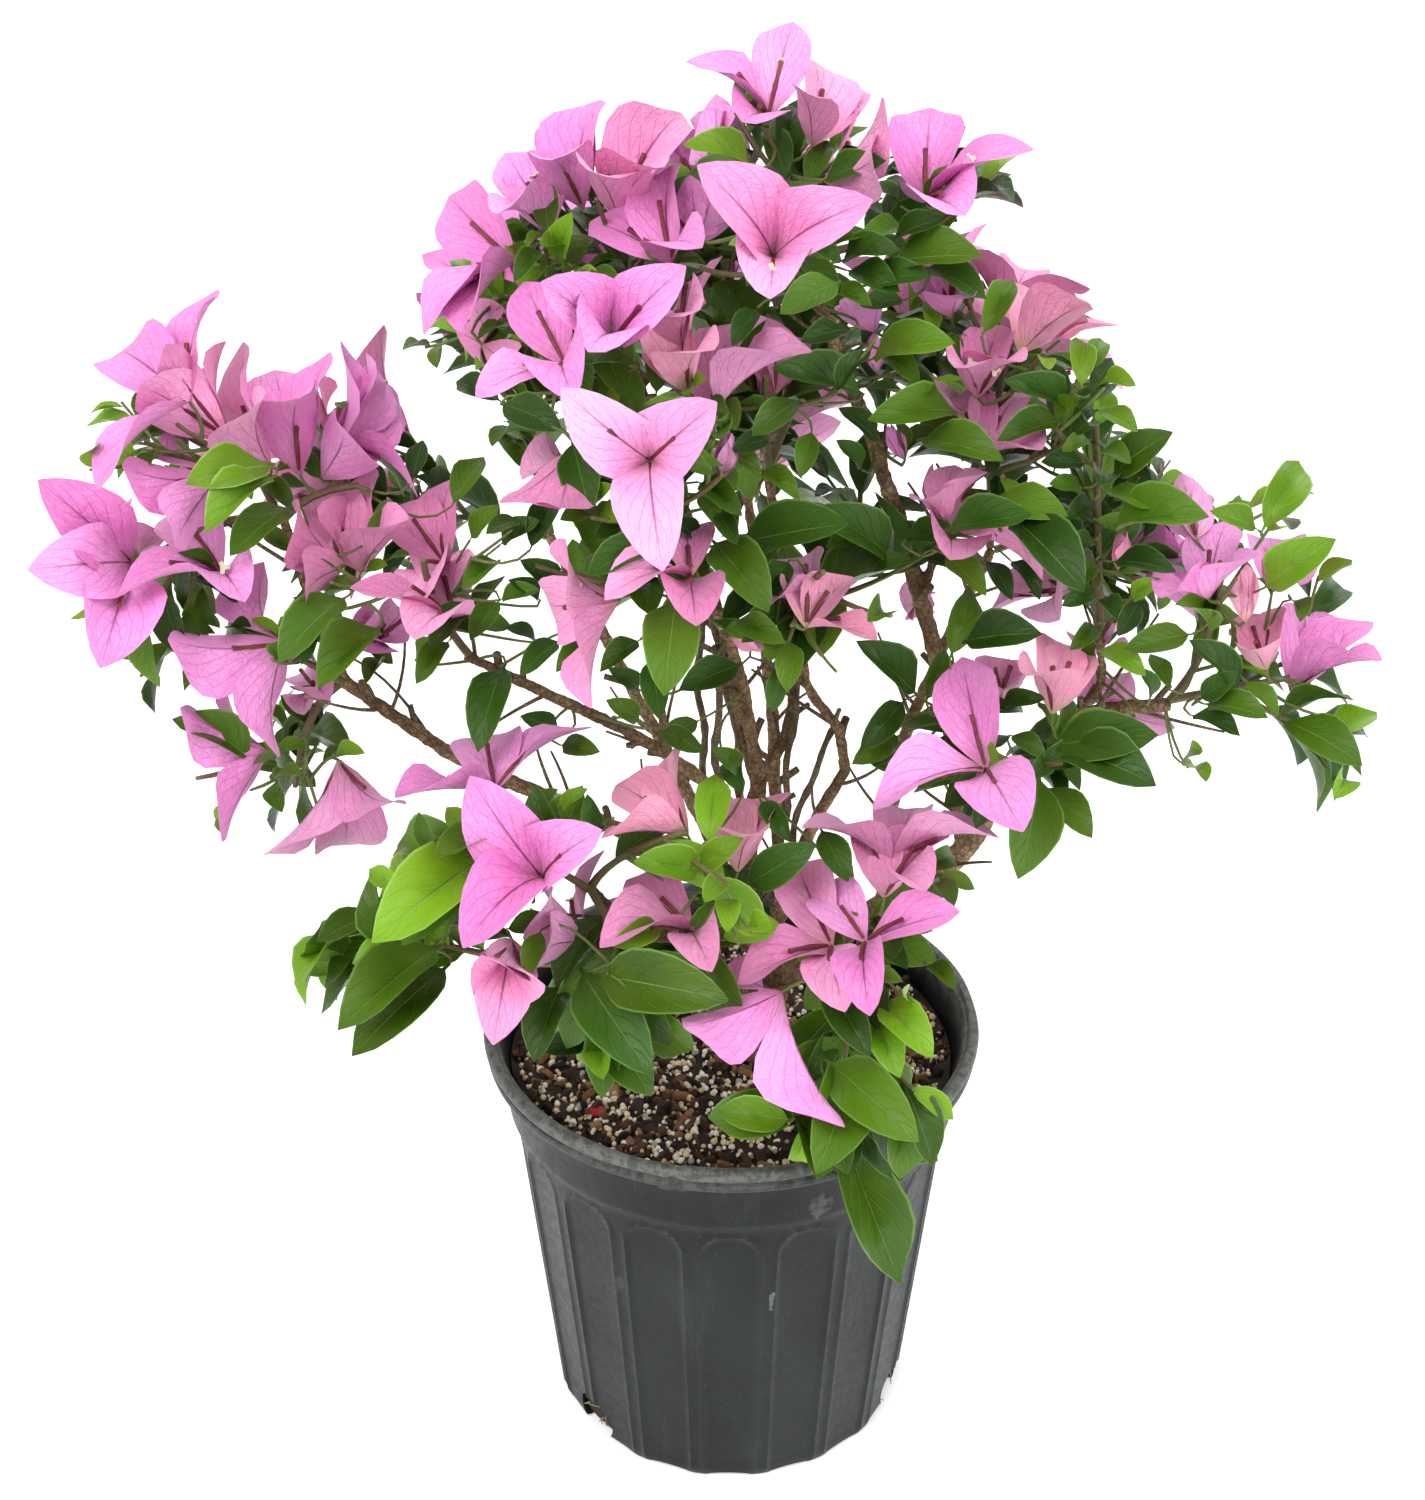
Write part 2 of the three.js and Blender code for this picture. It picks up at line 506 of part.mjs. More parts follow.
// A blade of eight faces: an octahedron drawn out from its root to its tip, thicker by the given extra.
function bladeGeometry({ root, along, face, length, shape }, extra = 0) {
  const normal = face.clone().addScaledVector(along, -face.dot(along)).normalize();
  const across = new THREE.Vector3().crossVectors(along, normal);
  const geometry = new THREE.OctahedronGeometry(1);
  const position = geometry.attributes.position;
  for (let i = 0; i < position.count; i++) {
    const [x, y, z] = [position.getX(i), position.getY(i), position.getZ(i)];
    const share = y > 0.5 ? 1 : y < -0.5 ? 0 : shape.broad;
    const rise = Math.abs(x) * shape.fold - share * share * shape.droop;
    const point = root.clone()
      .addScaledVector(along, share * length)
      .addScaledVector(across, (x * shape.width * length) / 2)
      .addScaledVector(normal, z * ((shape.thick * length) / 2 + extra) + rise * length);
    position.setXYZ(i, point.x, point.y, point.z);
  }
  return geometry;
}

// A blade with the faces, box and points that its room is tested by.
function makeBlade(plan, family) {
  const position = bladeGeometry(plan, CLEARANCE.face).attributes.position;
  const corners = Array.from({ length: position.count }, (_, i) => (
    new THREE.Vector3().fromBufferAttribute(position, i)
  ));
  const faces = [];
  for (let i = 0; i < corners.length; i += 3) faces.push(new THREE.Triangle(...corners.slice(i, i + 3)));
  const sides = faces.flatMap(({ a, b, c }) => [[a, b], [b, c], [c, a]]);
  const edges = sides.map((ends) => new THREE.Line3(...ends));
  const middles = faces.map((face) => face.getMidpoint(new THREE.Vector3()));
  const away = corners.filter((corner) => corner.distanceTo(plan.root) > plan.length / 5);
  const box = new THREE.Box3().setFromPoints(corners);
  return { plan, family, faces, edges, points: [...away, ...middles], box };
}

// The main shoot's curve, from beside the middle of the limb's tip to the spray's own tip.
function mainCurve(plan) {
  const limb = limbs.get(plan.from);
  const heading = limb.curve.getTangentAt(1);
  const start = limb.curve.getPointAt(1);
  const tip = vector(plan.tip);
  const aim = tip.clone().sub(start);
  const sideways = aim.clone().addScaledVector(heading, -aim.dot(heading)).normalize();
  start.addScaledVector(sideways, limb.radius[1] * 0.5);
  const bend = start.clone().addScaledVector(heading, aim.length() * 0.2).addScaledVector(aim, 0.35);
  return new THREE.QuadraticBezierCurve3(start, bend, tip);
}

// A side shoot's curve: it leans away from the main shoot and turns up towards the light.
function sideCurve(main, index, shoot, attempt) {
  const share = between(0.42, 0.86, index, shoot, 1);
  const start = main.getPointAt(share);
  const turn = shoot * GOLDEN_ANGLE + between(0, 1, index, shoot, 2) + attempt * 1.1;
  const out = leaned(main.getTangentAt(share), SIDE_SHOOT.lean, turn);
  const length = SIDE_SHOOT.length * between(0.75, 1.2, index, shoot, 3) * 0.95 ** attempt;
  const bend = start.clone().addScaledVector(out, length * 0.5);
  const upturned = out.clone().addScaledVector(lightAt(bend), 0.6).normalize();
  return new THREE.QuadraticBezierCurve3(start, bend, bend.clone().addScaledVector(upturned, length * 0.5));
}

// A shoot: its curve, and the line that its room is tested by.
function makeShoot(curve, shoot, spray) {
  const radius = TWIG.radius * (shoot ? TWIG.sideShare : 1);
  const steps = Math.max(2, Math.round(curve.getLength() / TWIG.stepLength));
  const line = makeLine(curve.getSpacedPoints(steps * 4), [radius, TWIG.tipRadius], spray);
  return { curve, shoot, steps, line };
}

function shootSolid({ curve, steps, line }, grown = 0) {
  const taper = (share) => THREE.MathUtils.lerp(...line.radius, share) + grown;
  return solidOf(tubeGeometry(curve, taper, TWIG.sides, steps));
}

// Which way a blossom would face: on along its shoot, out from the crown and a little up.
function blossomAim(curve, tip) {
  const aim = curve.getTangentAt(1).multiplyScalar(BLOSSOM_FACING.heading);
  aim.addScaledVector(tip.clone().sub(CROWN_HEART).normalize(), BLOSSOM_FACING.out);
  return aim.add(new THREE.Vector3(0, 0, BLOSSOM_FACING.up));
}

// The three bracts of a blossom round the way that it faces. All turn together until they have room.
function addBlossom({ curve, shoot, line }, index, plan) {
  const tip = curve.getPointAt(0.98);
  const family = `${index}.${shoot}`;
  for (let attempt = 0; attempt < TRIES; attempt++) {
    const stray = vector([0, 1, 2].map((k) => between(-0.5, 0.5, index, shoot, 20 + attempt * 3 + k)));
    const posed = shoot === 0 && plan.facing;
    const aim = posed ? vector(plan.facing) : blossomAim(curve, tip);
    const facing = aim.addScaledVector(stray, posed ? 0.12 * attempt : BLOSSOM_FACING.stray).normalize();
    const turn = posed ? THREE.MathUtils.degToRad(plan.turn + 11 * attempt)
      : between(0, 2 * Math.PI, index, shoot, 50 + attempt);
    const made = Array.from({ length: BLOSSOM.bracts }, (_, i) => {
      const opening = BLOSSOM.opening + BLOSSOM.openingSpread * between(-1, 1, index, shoot, 60 + i);
      const along = leaned(facing, opening, turn + (i * 2 * Math.PI) / BLOSSOM.bracts);
      const length = BRACT.length * between(0.88, 1.08, index, shoot, 65 + i) * 0.96 ** attempt;
      const root = tip.clone().addScaledVector(along, BLOSSOM.rootSpread);
      return makeBlade({ root, along, face: facing, length, shape: BRACT }, family);
    });
    if (!made.every((blade) => bladeHasRoom(blade, family, line))) continue;
    blades.push(...made);
    return made;
  }
  return [];
}

// One leaf on a shoot. It is tried at other turns where there is no room, then left out.
function addLeaf({ curve, shoot, line }, share, number, index, leafLength) {
  for (let attempt = 0; attempt < TRIES; attempt++) {
    const root = curve.getPointAt(share);
    const turn = number * GOLDEN_ANGLE + between(0, 0.8, index, shoot, 70 + number) + attempt * 0.9;
    const lean = LEAF.lean + between(-14, 14, index, shoot, 80 + number);
    const along = leaned(curve.getTangentAt(share), lean, turn);
    const length = leafLength * between(0.75, 1.15, index, shoot, 90 + number) * 0.94 ** attempt;
    const blade = makeBlade({ root, along, face: lightAt(root), length, shape: LEAF }, null);
    if (!bladeHasRoom(blade, "", line)) continue;
    blades.push(blade);
    return [blade];
  }
  return [];
}

// Every shoot of a spray: the main one, then the side shoots that have room.
function growShoots(plan, index, main) {
  const shoots = [main];
  for (let shoot = 1; shoot < plan.shoots; shoot++) {
    for (let attempt = 0; attempt < TRIES; attempt++) {
      const made = makeShoot(sideCurve(main.curve, index, shoot, attempt), shoot, index);
      if (!twigHasRoom(made.line)) continue;
      lines.push(made.line);
      shoots.push(made);
      break;
    }
  }
  return shoots;
}

// The leaf that hangs from the end of a main shoot to a place of its own.
function addHangingLeaf({ curve, line }, to) {
  const root = curve.getPointAt(0.98);
  const along = vector(to).sub(root);
  const length = along.length();
  const face = new THREE.Vector3(root.x, root.y, 0).normalize();
  const blade = makeBlade({ root, along: along.normalize(), face, length, shape: HANGING_LEAF }, null);
  if (!bladeHasRoom(blade, "", line)) return [];
  blades.push(blade);
  return [blade];
}

function addLeaves(shoot, index, plan) {
  const hanging = plan.hangingTo && shoot.shoot === 0 ? addHangingLeaf(shoot, plan.hangingTo) : [];
  const spread = shoot.shoot ? 0.72 : 0.62;
  const others = Array.from({ length: plan.leaves }, (_, number) => {
    const share = 1 - spread * ((number + 0.4) / plan.leaves);
    return addLeaf(shoot, share, number, index, plan.leaf);
  });
  return [...hanging, ...others.flat()];
}

// The shoots of a spray that end in a blossom.
function inBloom(plan, shoots) {
  const first = plan.hangingTo ? 1 : 0;
  return shoots.filter(({ shoot }) => shoot >= first && shoot < first + plan.blossoms);
}

// All main shoots come first, then all blossoms, then leaves where room is left.
function makeSprays(grownLimbs) {
  for (const limb of limbs.values()) lines.push(makeLine(limb.path, limb.radius, -1));
  const mains = SPRAYS.map((plan, index) => makeShoot(mainCurve(plan), 0, index));
  lines.push(...mains.map((main) => main.line));
  const shoots = SPRAYS.map((plan, index) => growShoots(plan, index, mains[index]));
  const blossoms = SPRAYS.map((plan, index) => (
    inBloom(plan, shoots[index]).flatMap((shoot) => addBlossom(shoot, index, plan))
  ));
  const leaves = SPRAYS.map((plan, index) => shoots[index].flatMap((shoot) => addLeaves(shoot, index, plan)));
  return SPRAYS.map((plan, index) => {
    const own = [...blossoms[index], ...leaves[index]];
    const bladeSolids = own.map((blade) => solidOf(bladeGeometry(blade.plan)));
    const fused = wasm.Manifold.union([...shoots[index].map((shoot) => shootSolid(shoot)), ...bladeSolids]);
    const earlier = mains.slice(0, index).filter((_, i) => SPRAYS[i].from === plan.from)
      .map((main) => shootSolid(main, JOINT_GAP));
    const cut = [...grownLimbs, ...earlier].reduce((solid, other) => solid.subtract(other), fused);
    return named(plan.name, geometryOf(cut), plan.blossoms ? FINISH.blossom : FINISH.foliage);
  });
}

// ---- The whole plant ----------------------------------------------------------------------

const plant = new THREE.Group();
plant.name = "bougainvillea_in_pot";
plant.add(makePot(), makeSoil());
const { made: limbMeshes, grownSolids } = makeLimbs();
plant.add(...limbMeshes);
plant.add(...makeSprays(grownSolids));

export default plant;
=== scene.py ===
"""A bougainvillea bush in bloom in a round black nursery pot, finished in Blender.

The pot, the mix, the wood, the shoots, the leaves and the blossoms each have an operator. The plant grows
by one rule: limbs through their own points, a spray of shoots from each limb's tip, and leaves and
blossoms on the shoots. Plans are in millimetres, meshes in metres, +Z is up and -Y is the front.
"""

import math
from functools import lru_cache

import bpy
import numpy as np
from mathutils import Euler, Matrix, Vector


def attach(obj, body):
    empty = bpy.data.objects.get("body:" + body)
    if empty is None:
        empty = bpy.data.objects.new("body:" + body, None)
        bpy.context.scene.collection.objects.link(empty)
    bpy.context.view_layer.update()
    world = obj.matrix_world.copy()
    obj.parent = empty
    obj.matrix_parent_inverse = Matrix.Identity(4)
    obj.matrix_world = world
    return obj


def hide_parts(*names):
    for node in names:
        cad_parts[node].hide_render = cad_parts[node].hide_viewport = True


bl_info = {
    "name": "Potted bougainvillea",
    "version": (1, 0, 0),
    "blender": (4, 5, 0),
    "location": "3D View > Sidebar > Plant",
    "description": "Builds a flowering bougainvillea bush in its nursery pot around the packed frame",
    "category": "Object",
}

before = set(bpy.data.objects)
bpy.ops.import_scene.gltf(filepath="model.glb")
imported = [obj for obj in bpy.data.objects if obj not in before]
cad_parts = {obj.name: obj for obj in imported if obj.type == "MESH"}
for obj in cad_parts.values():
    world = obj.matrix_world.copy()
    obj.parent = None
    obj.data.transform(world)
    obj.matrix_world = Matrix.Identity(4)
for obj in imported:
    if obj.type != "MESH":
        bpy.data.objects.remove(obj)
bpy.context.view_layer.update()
MM = 0.001

# ---- The pot, in millimetres ----

POT_HEIGHT = 210
RIM_RADIUS = 114.5
BAND_FOOT = 170
BODY_FOOT_RADIUS = 85
BODY_TOP_RADIUS = 102
PANELS = 18
PANEL_TOP = 164
PANEL_HALF_ANGLE = 8.1
DRAIN_TURNS = (-50, 70, 190)
DRAIN_PLACE = 82
DRAIN_RADIUS = 12
POT_COLUMNS = 720
SOIL_TOP = 190
SOIL_RADIUS = 100.5

# ---- The limbs ----
# name: what it grows from, the share of that one's length, radius at foot and tip, points on its way.

LIMBS = {
    "trunk": (None, 0, (10, 8), ((12, 2, 190.3), (12, 2, 206), (22, 2, 232))),
    "right_bough_lower": ("trunk", 1, (7.6, 5.2), ((58, 2, 262), (98, 2, 292), (119, 0, 338))),
    "right_bough_upper": ("right_bough_lower", 1, (4.6, 3.4), ((142, -8, 370), (184, -18, 384))),
    "tall_cane_lower": ("right_bough_lower", 0.72, (4.4, 3.9), ((97, 10, 345), (86, 14, 394), (67, 6, 462))),
    "tall_cane_upper": ("tall_cane_lower", 1, (3.7, 2.8), ((52, 0, 505), (36, 0, 545), (28, 2, 566))),
    "cane_side": ("tall_cane_lower", 0.72, (2.4, 2), ((88, 2, 458), (98, 2, 478))),
    "upright_stem": ("right_bough_upper", 0.45, (2.3, 1.8), ((154, -16, 392), (151, -18, 418))),
    "centre_stem": ("trunk", 0.95, (5.6, 4.4), ((4, -2, 262), (9, 0, 312), (12, 0, 336))),
    "middle_stem_left": ("centre_stem", 1, (3.4, 2.5), ((5, -9, 382), (-2, -26, 418), (-10, -44, 446))),
    "middle_stem_right": ("centre_stem", 0.97, (3.3, 2.4), ((25, 6, 362), (22, 10, 418), (14, 2, 482))),
    "crown_left_stem": ("centre_stem", 0.95, (3.1, 2.3), ((-6, 12, 400), (-24, 18, 462), (-42, 4, 532))),
    "left_upper_bough": (
        "centre_stem", 0.8, (3.3, 2.4),
        ((-36, -14, 362), (-76, -28, 392), (-108, -42, 418)),
    ),
    "curved_stem_lower": ("trunk", 0.98, (4, 3), ((22, -8, 282), (38, -8, 322), (49, -7, 345))),
    "curved_stem_upper": ("curved_stem_lower", 1, (2.8, 2.2), ((45, -6, 364), (32, -6, 386), (28, -14, 414))),
    "left_bough": (
        "trunk", 0.9, (4.6, 3),
        ((-18, -8, 294), (-60, -20, 328), (-112, -28, 360), (-160, -38, 404)),
    ),
    "left_bough_upper": ("left_bough", 1, (2.7, 2.1), ((-172, -36, 446), (-179, -32, 474))),
    "low_left_bough": ("trunk", 0.8, (3.4, 2.4), ((-24, -26, 252), (-62, -44, 268), (-92, -52, 274))),
    "low_front_bough": ("trunk", 0.7, (3.4, 2.3), ((-12, -46, 262), (-42, -74, 308), (-58, -84, 334))),
    "low_right_bough": ("trunk", 0.86, (3.4, 2.3), ((36, -40, 262), (48, -70, 296))),
    "back_left_bough": ("trunk", 0.88, (4.2, 2.6), ((-16, 44, 292), (-62, 78, 372), (-84, 92, 410))),
    "back_bough": ("trunk", 0.97, (4, 2.5), ((20, 48, 306), (12, 88, 392), (4, 98, 440))),
    "back_right_bough": (
        "right_bough_lower", 0.4, (3.8, 2.5),
        ((78, 48, 326), (108, 86, 384), (118, 92, 404)),
    ),
}

# ---- The sprays ----
# name, limb, tip of its main shoot, blossoms, shoots, usual leaf length, leaf tint and bract tint.

SPRAYS = (
    ("top", "tall_cane_upper", (30, 14, 598), 3, 3, 46, "deep", "mauve"),
    ("top_right", "tall_cane_upper", (80, 16, 570), 3, 3, 48, "deep", "mauve"),
    ("crown_front", "tall_cane_upper", (14, -58, 580), 1, 3, 50, "deep", "mauve"),
    ("top_left", "crown_left_stem", (-42, 4, 580), 4, 4, 44, "mid", "mauve"),
    ("upper_left", "crown_left_stem", (-92, -10, 558), 3, 3, 44, "fresh", "mauve"),
    ("upper_front", "crown_left_stem", (-58, -66, 562), 3, 3, 46, "mid", "mauve"),
    ("upper_centre", "middle_stem_right", (12, -52, 542), 2, 3, 48, "mid", "rosy"),
    ("upper_inner", "middle_stem_right", (46, 30, 532), 1, 3, 50, "deep", "rosy"),
    ("centre_front", "middle_stem_left", (-32, -112, 528), 1, 3, 54, "mid", "pale"),
    ("centre_left", "middle_stem_left", (-56, -104, 478), 2, 3, 52, "mid", "rosy"),
    ("centre_right", "curved_stem_upper", (34, -84, 476), 1, 3, 56, "mid", "salmon"),
    ("centre_back", "curved_stem_upper", (58, 8, 436), 1, 3, 48, "deep", "salmon"),
    ("left_middle", "left_upper_bough", (-120, -62, 470), 2, 4, 50, "mid", "rosy"),
    ("left_inner", "left_bough_upper", (-150, -18, 482), 4, 4, 42, "mid", "mauve"),
    ("left_outer", "left_bough_upper", (-194, -28, 502), 4, 4, 44, "fresh", "mauve"),
    ("far_left", "left_bough_upper", (-243, -42, 452), 3, 3, 44, "mid", "mauve"),
    ("left_low", "left_bough", (-178, -52, 424), 2, 3, 50, "mid", "mauve"),
    ("left_hanging", "left_bough", (-182, -46, 358), 3, 3, 44, "mid", "pale"),
    ("low_left", "low_left_bough", (-128, -62, 292), 0, 3, 64, "fresh", "pale"),
    ("lower_left", "low_front_bough", (-84, -108, 366), 3, 3, 52, "mid", "mauve"),
    ("low_centre", "low_front_bough", (-18, -96, 368), 2, 3, 48, "fresh", "salmon"),
    ("low_front", "low_front_bough", (-34, -114, 312), 2, 3, 60, "mid", "pale"),
    ("low_right", "low_right_bough", (60, -100, 332), 3, 3, 52, "mid", "mauve"),
    ("pot_front", "low_right_bough", (44, -117, 240), 1, 3, 66, "mid", "mauve"),
    ("right_front", "right_bough_lower", (98, -78, 384), 1, 3, 52, "deep", "mauve"),
    ("right_middle", "cane_side", (106, -30, 492), 2, 3, 50, "deep", "rosy"),
    ("right_upper", "cane_side", (110, 6, 534), 3, 3, 46, "mid", "salmon"),
    ("upright", "upright_stem", (142, -22, 512), 0, 3, 46, "deep", "rosy"),
    ("right_end", "right_bough_upper", (198, -18, 444), 2, 3, 50, "fresh", "mauve"),
    ("far_right", "right_bough_upper", (230, -28, 402), 2, 3, 52, "deep", "rosy"),
    ("back_left_high", "back_left_bough", (-86, 104, 490), 3, 4, 52, "mid", "mauve"),
    ("back_left_low", "back_left_bough", (-150, 104, 410), 2, 4, 52, "deep", "rosy"),
    ("back_high", "back_bough", (-8, 98, 540), 3, 4, 52, "mid", "mauve"),
    ("back_low", "back_bough", (4, 156, 436), 2, 4, 54, "deep", "pale"),
    ("back_right_high", "back_right_bough", (100, 100, 490), 3, 4, 52, "mid", "rosy"),
    ("back_right_low", "back_right_bough", (166, 94, 404), 2, 4, 52, "deep", "mauve"),
)
SPRAY_NODES = ["spray_" + spray[0] for spray in SPRAYS]

# ---- Places in the view ----
# Blossoms and leaves of the front are placed as they stand in the camera's view: across and down
# in pixels of its frame, then the depth y in mm. A tip is given across and down alone. It lies
# nearer the eye than its root, or farther where FAR is added, as far as its length makes it.

VIEW_WIDTH = 1425
VIEW_HEIGHT = 1500
VIEW_FOCUS = 2400
SENSOR = 36
VIEW_TILT = math.radians(29.8)
VIEW_TURN = 0.0095
EYE = np.array((0.0, -904.0, 868.0))
PIXELS_PER_MM = 2.35
NEAR = -1
FAR = 1

# Where the sky shows through or beside the front of the crown: across, down and a radius in pixels.
OPENINGS = {
    "over_the_left_side": (265, 245, 60), "over_the_left_side_right_end": (375, 300, 45),
    "left_of_the_upper_left": (455, 420, 42), "left_of_the_top": (610, 120, 32),
    "right_of_the_top": (1010, 70, 50), "right_of_the_crown": (1078, 200, 48),
    "over_the_upright_shoot": (1180, 330, 60), "right_of_the_upright_shoot": (1190, 440, 36),
    "over_the_right_end": (1330, 430, 60), "under_the_far_left": (110, 700, 26),
    "beside_the_far_left": (48, 440, 36), "left_of_the_hanging_blossom": (150, 810, 60),
    "under_the_hanging_blossom": (320, 905, 30),
    "between_the_left_twigs": (395, 700, 26), "right_of_the_hanging_blossom": (420, 745, 16),
    "under_the_left_leaves": (545, 705, 14), "under_the_left_upper_bough": (600, 745, 13),
    "over_the_low_left": (610, 780, 13), "beside_the_centre_stem": (695, 700, 8),
    "inside_the_curved_stem": (800, 765, 16), "over_the_curved_stem": (805, 715, 9),
    "over_the_side_twig": (840, 675, 16), "under_the_side_twig": (880, 745, 14),
    "over_the_low_right": (870, 800, 22), "left_of_the_tall_cane": (832, 455, 18),
    "left_of_the_cane_lower": (868, 588, 10), "right_of_the_tall_cane": (988, 568, 12),
    "left_of_the_upright_shoot": (1042, 476, 11), "under_the_right_end": (1230, 830, 60),
    "under_the_right_bough": (1130, 850, 50), "right_of_the_low_right": (1075, 950, 50),
    "inside_the_pot_right": (925, 1035, 34), "beside_the_pot_right": (1005, 1060, 36),
}
OPEN_DEPTH = -30

# Tint, heart (across, down, depth), and the tips of the three bracts.
TOP_BLOSSOMS = (
    ("mauve", (925, 203, 8), (931, 108, FAR), (1034, 150), (965, 216)),
    ("mauve", (768, 118, 8), (686, 62), (793, 22, FAR), (742, 122)),
    ("rosy", (812, 146, 6), (812, 60, FAR), (857, 87, FAR), (796, 86)),
    ("rosy", (824, 180, -4), (884, 98), (834, 96, FAR), (872, 158)),
    ("mauve", (715, 170, 16), (716, 94, FAR), (690, 120, FAR), (745, 130, FAR)),
)
UPPER_LEFT_BLOSSOMS = (
    ("pale", (773, 258, -76), (697, 165), (873, 200), (770, 299)),
    ("mauve", (515, 262, -22), (449, 196, FAR), (424, 335), (462, 332)),
    ("mauve", (548, 234, -14), (505, 153, FAR), (530, 150, FAR), (498, 214)),
    ("mauve", (583, 208, -2), (572, 110, FAR), (600, 100, FAR), (551, 160)),
    ("rosy", (618, 216, -12), (681, 113, FAR), (588, 170), (655, 168)),
    ("mauve", (672, 262, -44), (672, 165, FAR), (590, 222, FAR), (702, 248)),
    ("mauve", (700, 240, -30), (690, 175, FAR), (735, 220, FAR), (648, 210, FAR)),
    ("mauve", (612, 345, -74), (541, 282), (686, 266), (588, 352)),
    ("mauve", (566, 366, -88), (524, 282, FAR), (476, 398), (574, 400)),
    ("rosy", (482, 345, -40), (470, 300, FAR), (456, 332, FAR), (510, 375)),
    ("rosy", (682, 346, -62), (722, 256, FAR), (655, 318, FAR), (700, 310)),
    ("salmon", (688, 392, -78), (703, 305, FAR), (672, 330, FAR), (714, 350)),
    ("pale", (716, 412, -58), (766, 318, FAR), (812, 352), (706, 350, FAR)),
    ("rosy", (775, 395, -30), (812, 345, FAR), (768, 318, FAR), (790, 375, FAR)),
)
MIDDLE_BLOSSOMS = (
    ("pale", (650, 460, -126), (561, 388), (717, 402), (663, 571)),
    ("rosy", (574, 450, -86), (501, 503), (545, 432, FAR), (560, 508)),
    ("rosy", (618, 602, -110), (566, 540), (549, 604, FAR), (592, 708)),
    ("rosy", (690, 578, -112), (605, 600), (696, 626), (686, 526, FAR)),
    ("salmon", (806, 628, -86), (877, 640), (853, 577, FAR), (797, 573, FAR)),
    ("pale", (808, 606, -66), (818, 546, FAR), (774, 560, FAR), (770, 606)),
)
LEFT_SIDE_BLOSSOMS = (
    ("rosy", (228, 438, -35), (165, 345), (226, 342, FAR), (140, 385)),
    ("mauve", (190, 402, -42), (217, 290, FAR), (121, 352, FAR), (98, 490)),
    ("mauve", (218, 478, -52), (122, 465), (175, 545), (190, 425, FAR)),
    ("mauve", (132, 563, -48), (38, 480), (28, 570), (100, 668)),
    ("pale", (140, 560, -30), (132, 500), (165, 540, FAR), (145, 612, FAR)),
    ("mauve", (222, 572, -52), (118, 596), (172, 512, FAR), (245, 602)),
    ("rosy", (272, 470, -25), (243, 342, FAR), (262, 400), (205, 440, FAR)),
    ("mauve", (300, 475, -22), (275, 370, FAR), (330, 352, FAR), (300, 398)),
    ("mauve", (322, 478, -14), (340, 340, FAR), (372, 378, FAR), (345, 430)),
    ("mauve", (335, 442, -6), (398, 395, FAR), (418, 498), (366, 352, FAR)),
    ("rosy", (345, 566, -52), (298, 503), (305, 592), (352, 500, FAR)),
    ("rosy", (362, 572, -36), (373, 466, FAR), (322, 492, FAR), (408, 520)),
    ("rosy", (446, 566, -30), (455, 478, FAR), (400, 505, FAR), (425, 600)),
    ("rosy", (454, 622, -64), (350, 588), (428, 560, FAR), (415, 640)),
    ("mauve", (285, 642, -56), (168, 640), (264, 562, FAR), (278, 757)),
    ("mauve", (268, 752, -52), (180, 708), (222, 842), (226, 680, FAR)),
    ("pale", (339, 760, -44), (262, 856), (398, 800), (345, 845, FAR)),
    ("mauve", (375, 640, -40), (352, 625), (402, 610, FAR), (360, 650)),
    ("pale", (316, 690, -20), (330, 700), (302, 672, FAR), (304, 715)),
)
LOW_LEFT_BLOSSOMS = (
    ("mauve", (543, 878, -112), (470, 776), (463, 948), (602, 830)),
    ("mauve", (495, 792, -96), (395, 798), (593, 727, FAR), (485, 735, FAR)),
    ("rosy", (512, 940, -110), (493, 1045), (545, 985), (482, 955)),
    ("pale", (585, 942, -102), (553, 888), (605, 850, FAR), (545, 955)),
    ("salmon", (688, 836, -90), (682, 742, FAR), (601, 838), (616, 785, FAR)),
    ("salmon", (738, 872, -90), (788, 792, FAR), (708, 800, FAR), (755, 835)),
    ("rosy", (692, 932, -106), (626, 880, FAR), (600, 948), (712, 972)),
)
LOW_RIGHT_BLOSSOMS = (
    ("mauve", (866, 942, -118), (960, 912), (870, 1016), (822, 884, FAR)),
    ("rosy", (832, 946, -104), (797, 862, FAR), (738, 985), (845, 1012)),
    ("rosy", (884, 898, -98), (948, 828, FAR), (862, 832, FAR), (925, 892)),
    ("pale", (890, 866, -78), (999, 838), (802, 828), (915, 808, FAR)),
    ("mauve", (782, 992, -124), (845, 1127), (684, 1028), (745, 955, FAR)),
    ("mauve", (986, 769, -82), (962, 657, FAR), (873, 810), (1023, 832)),
)
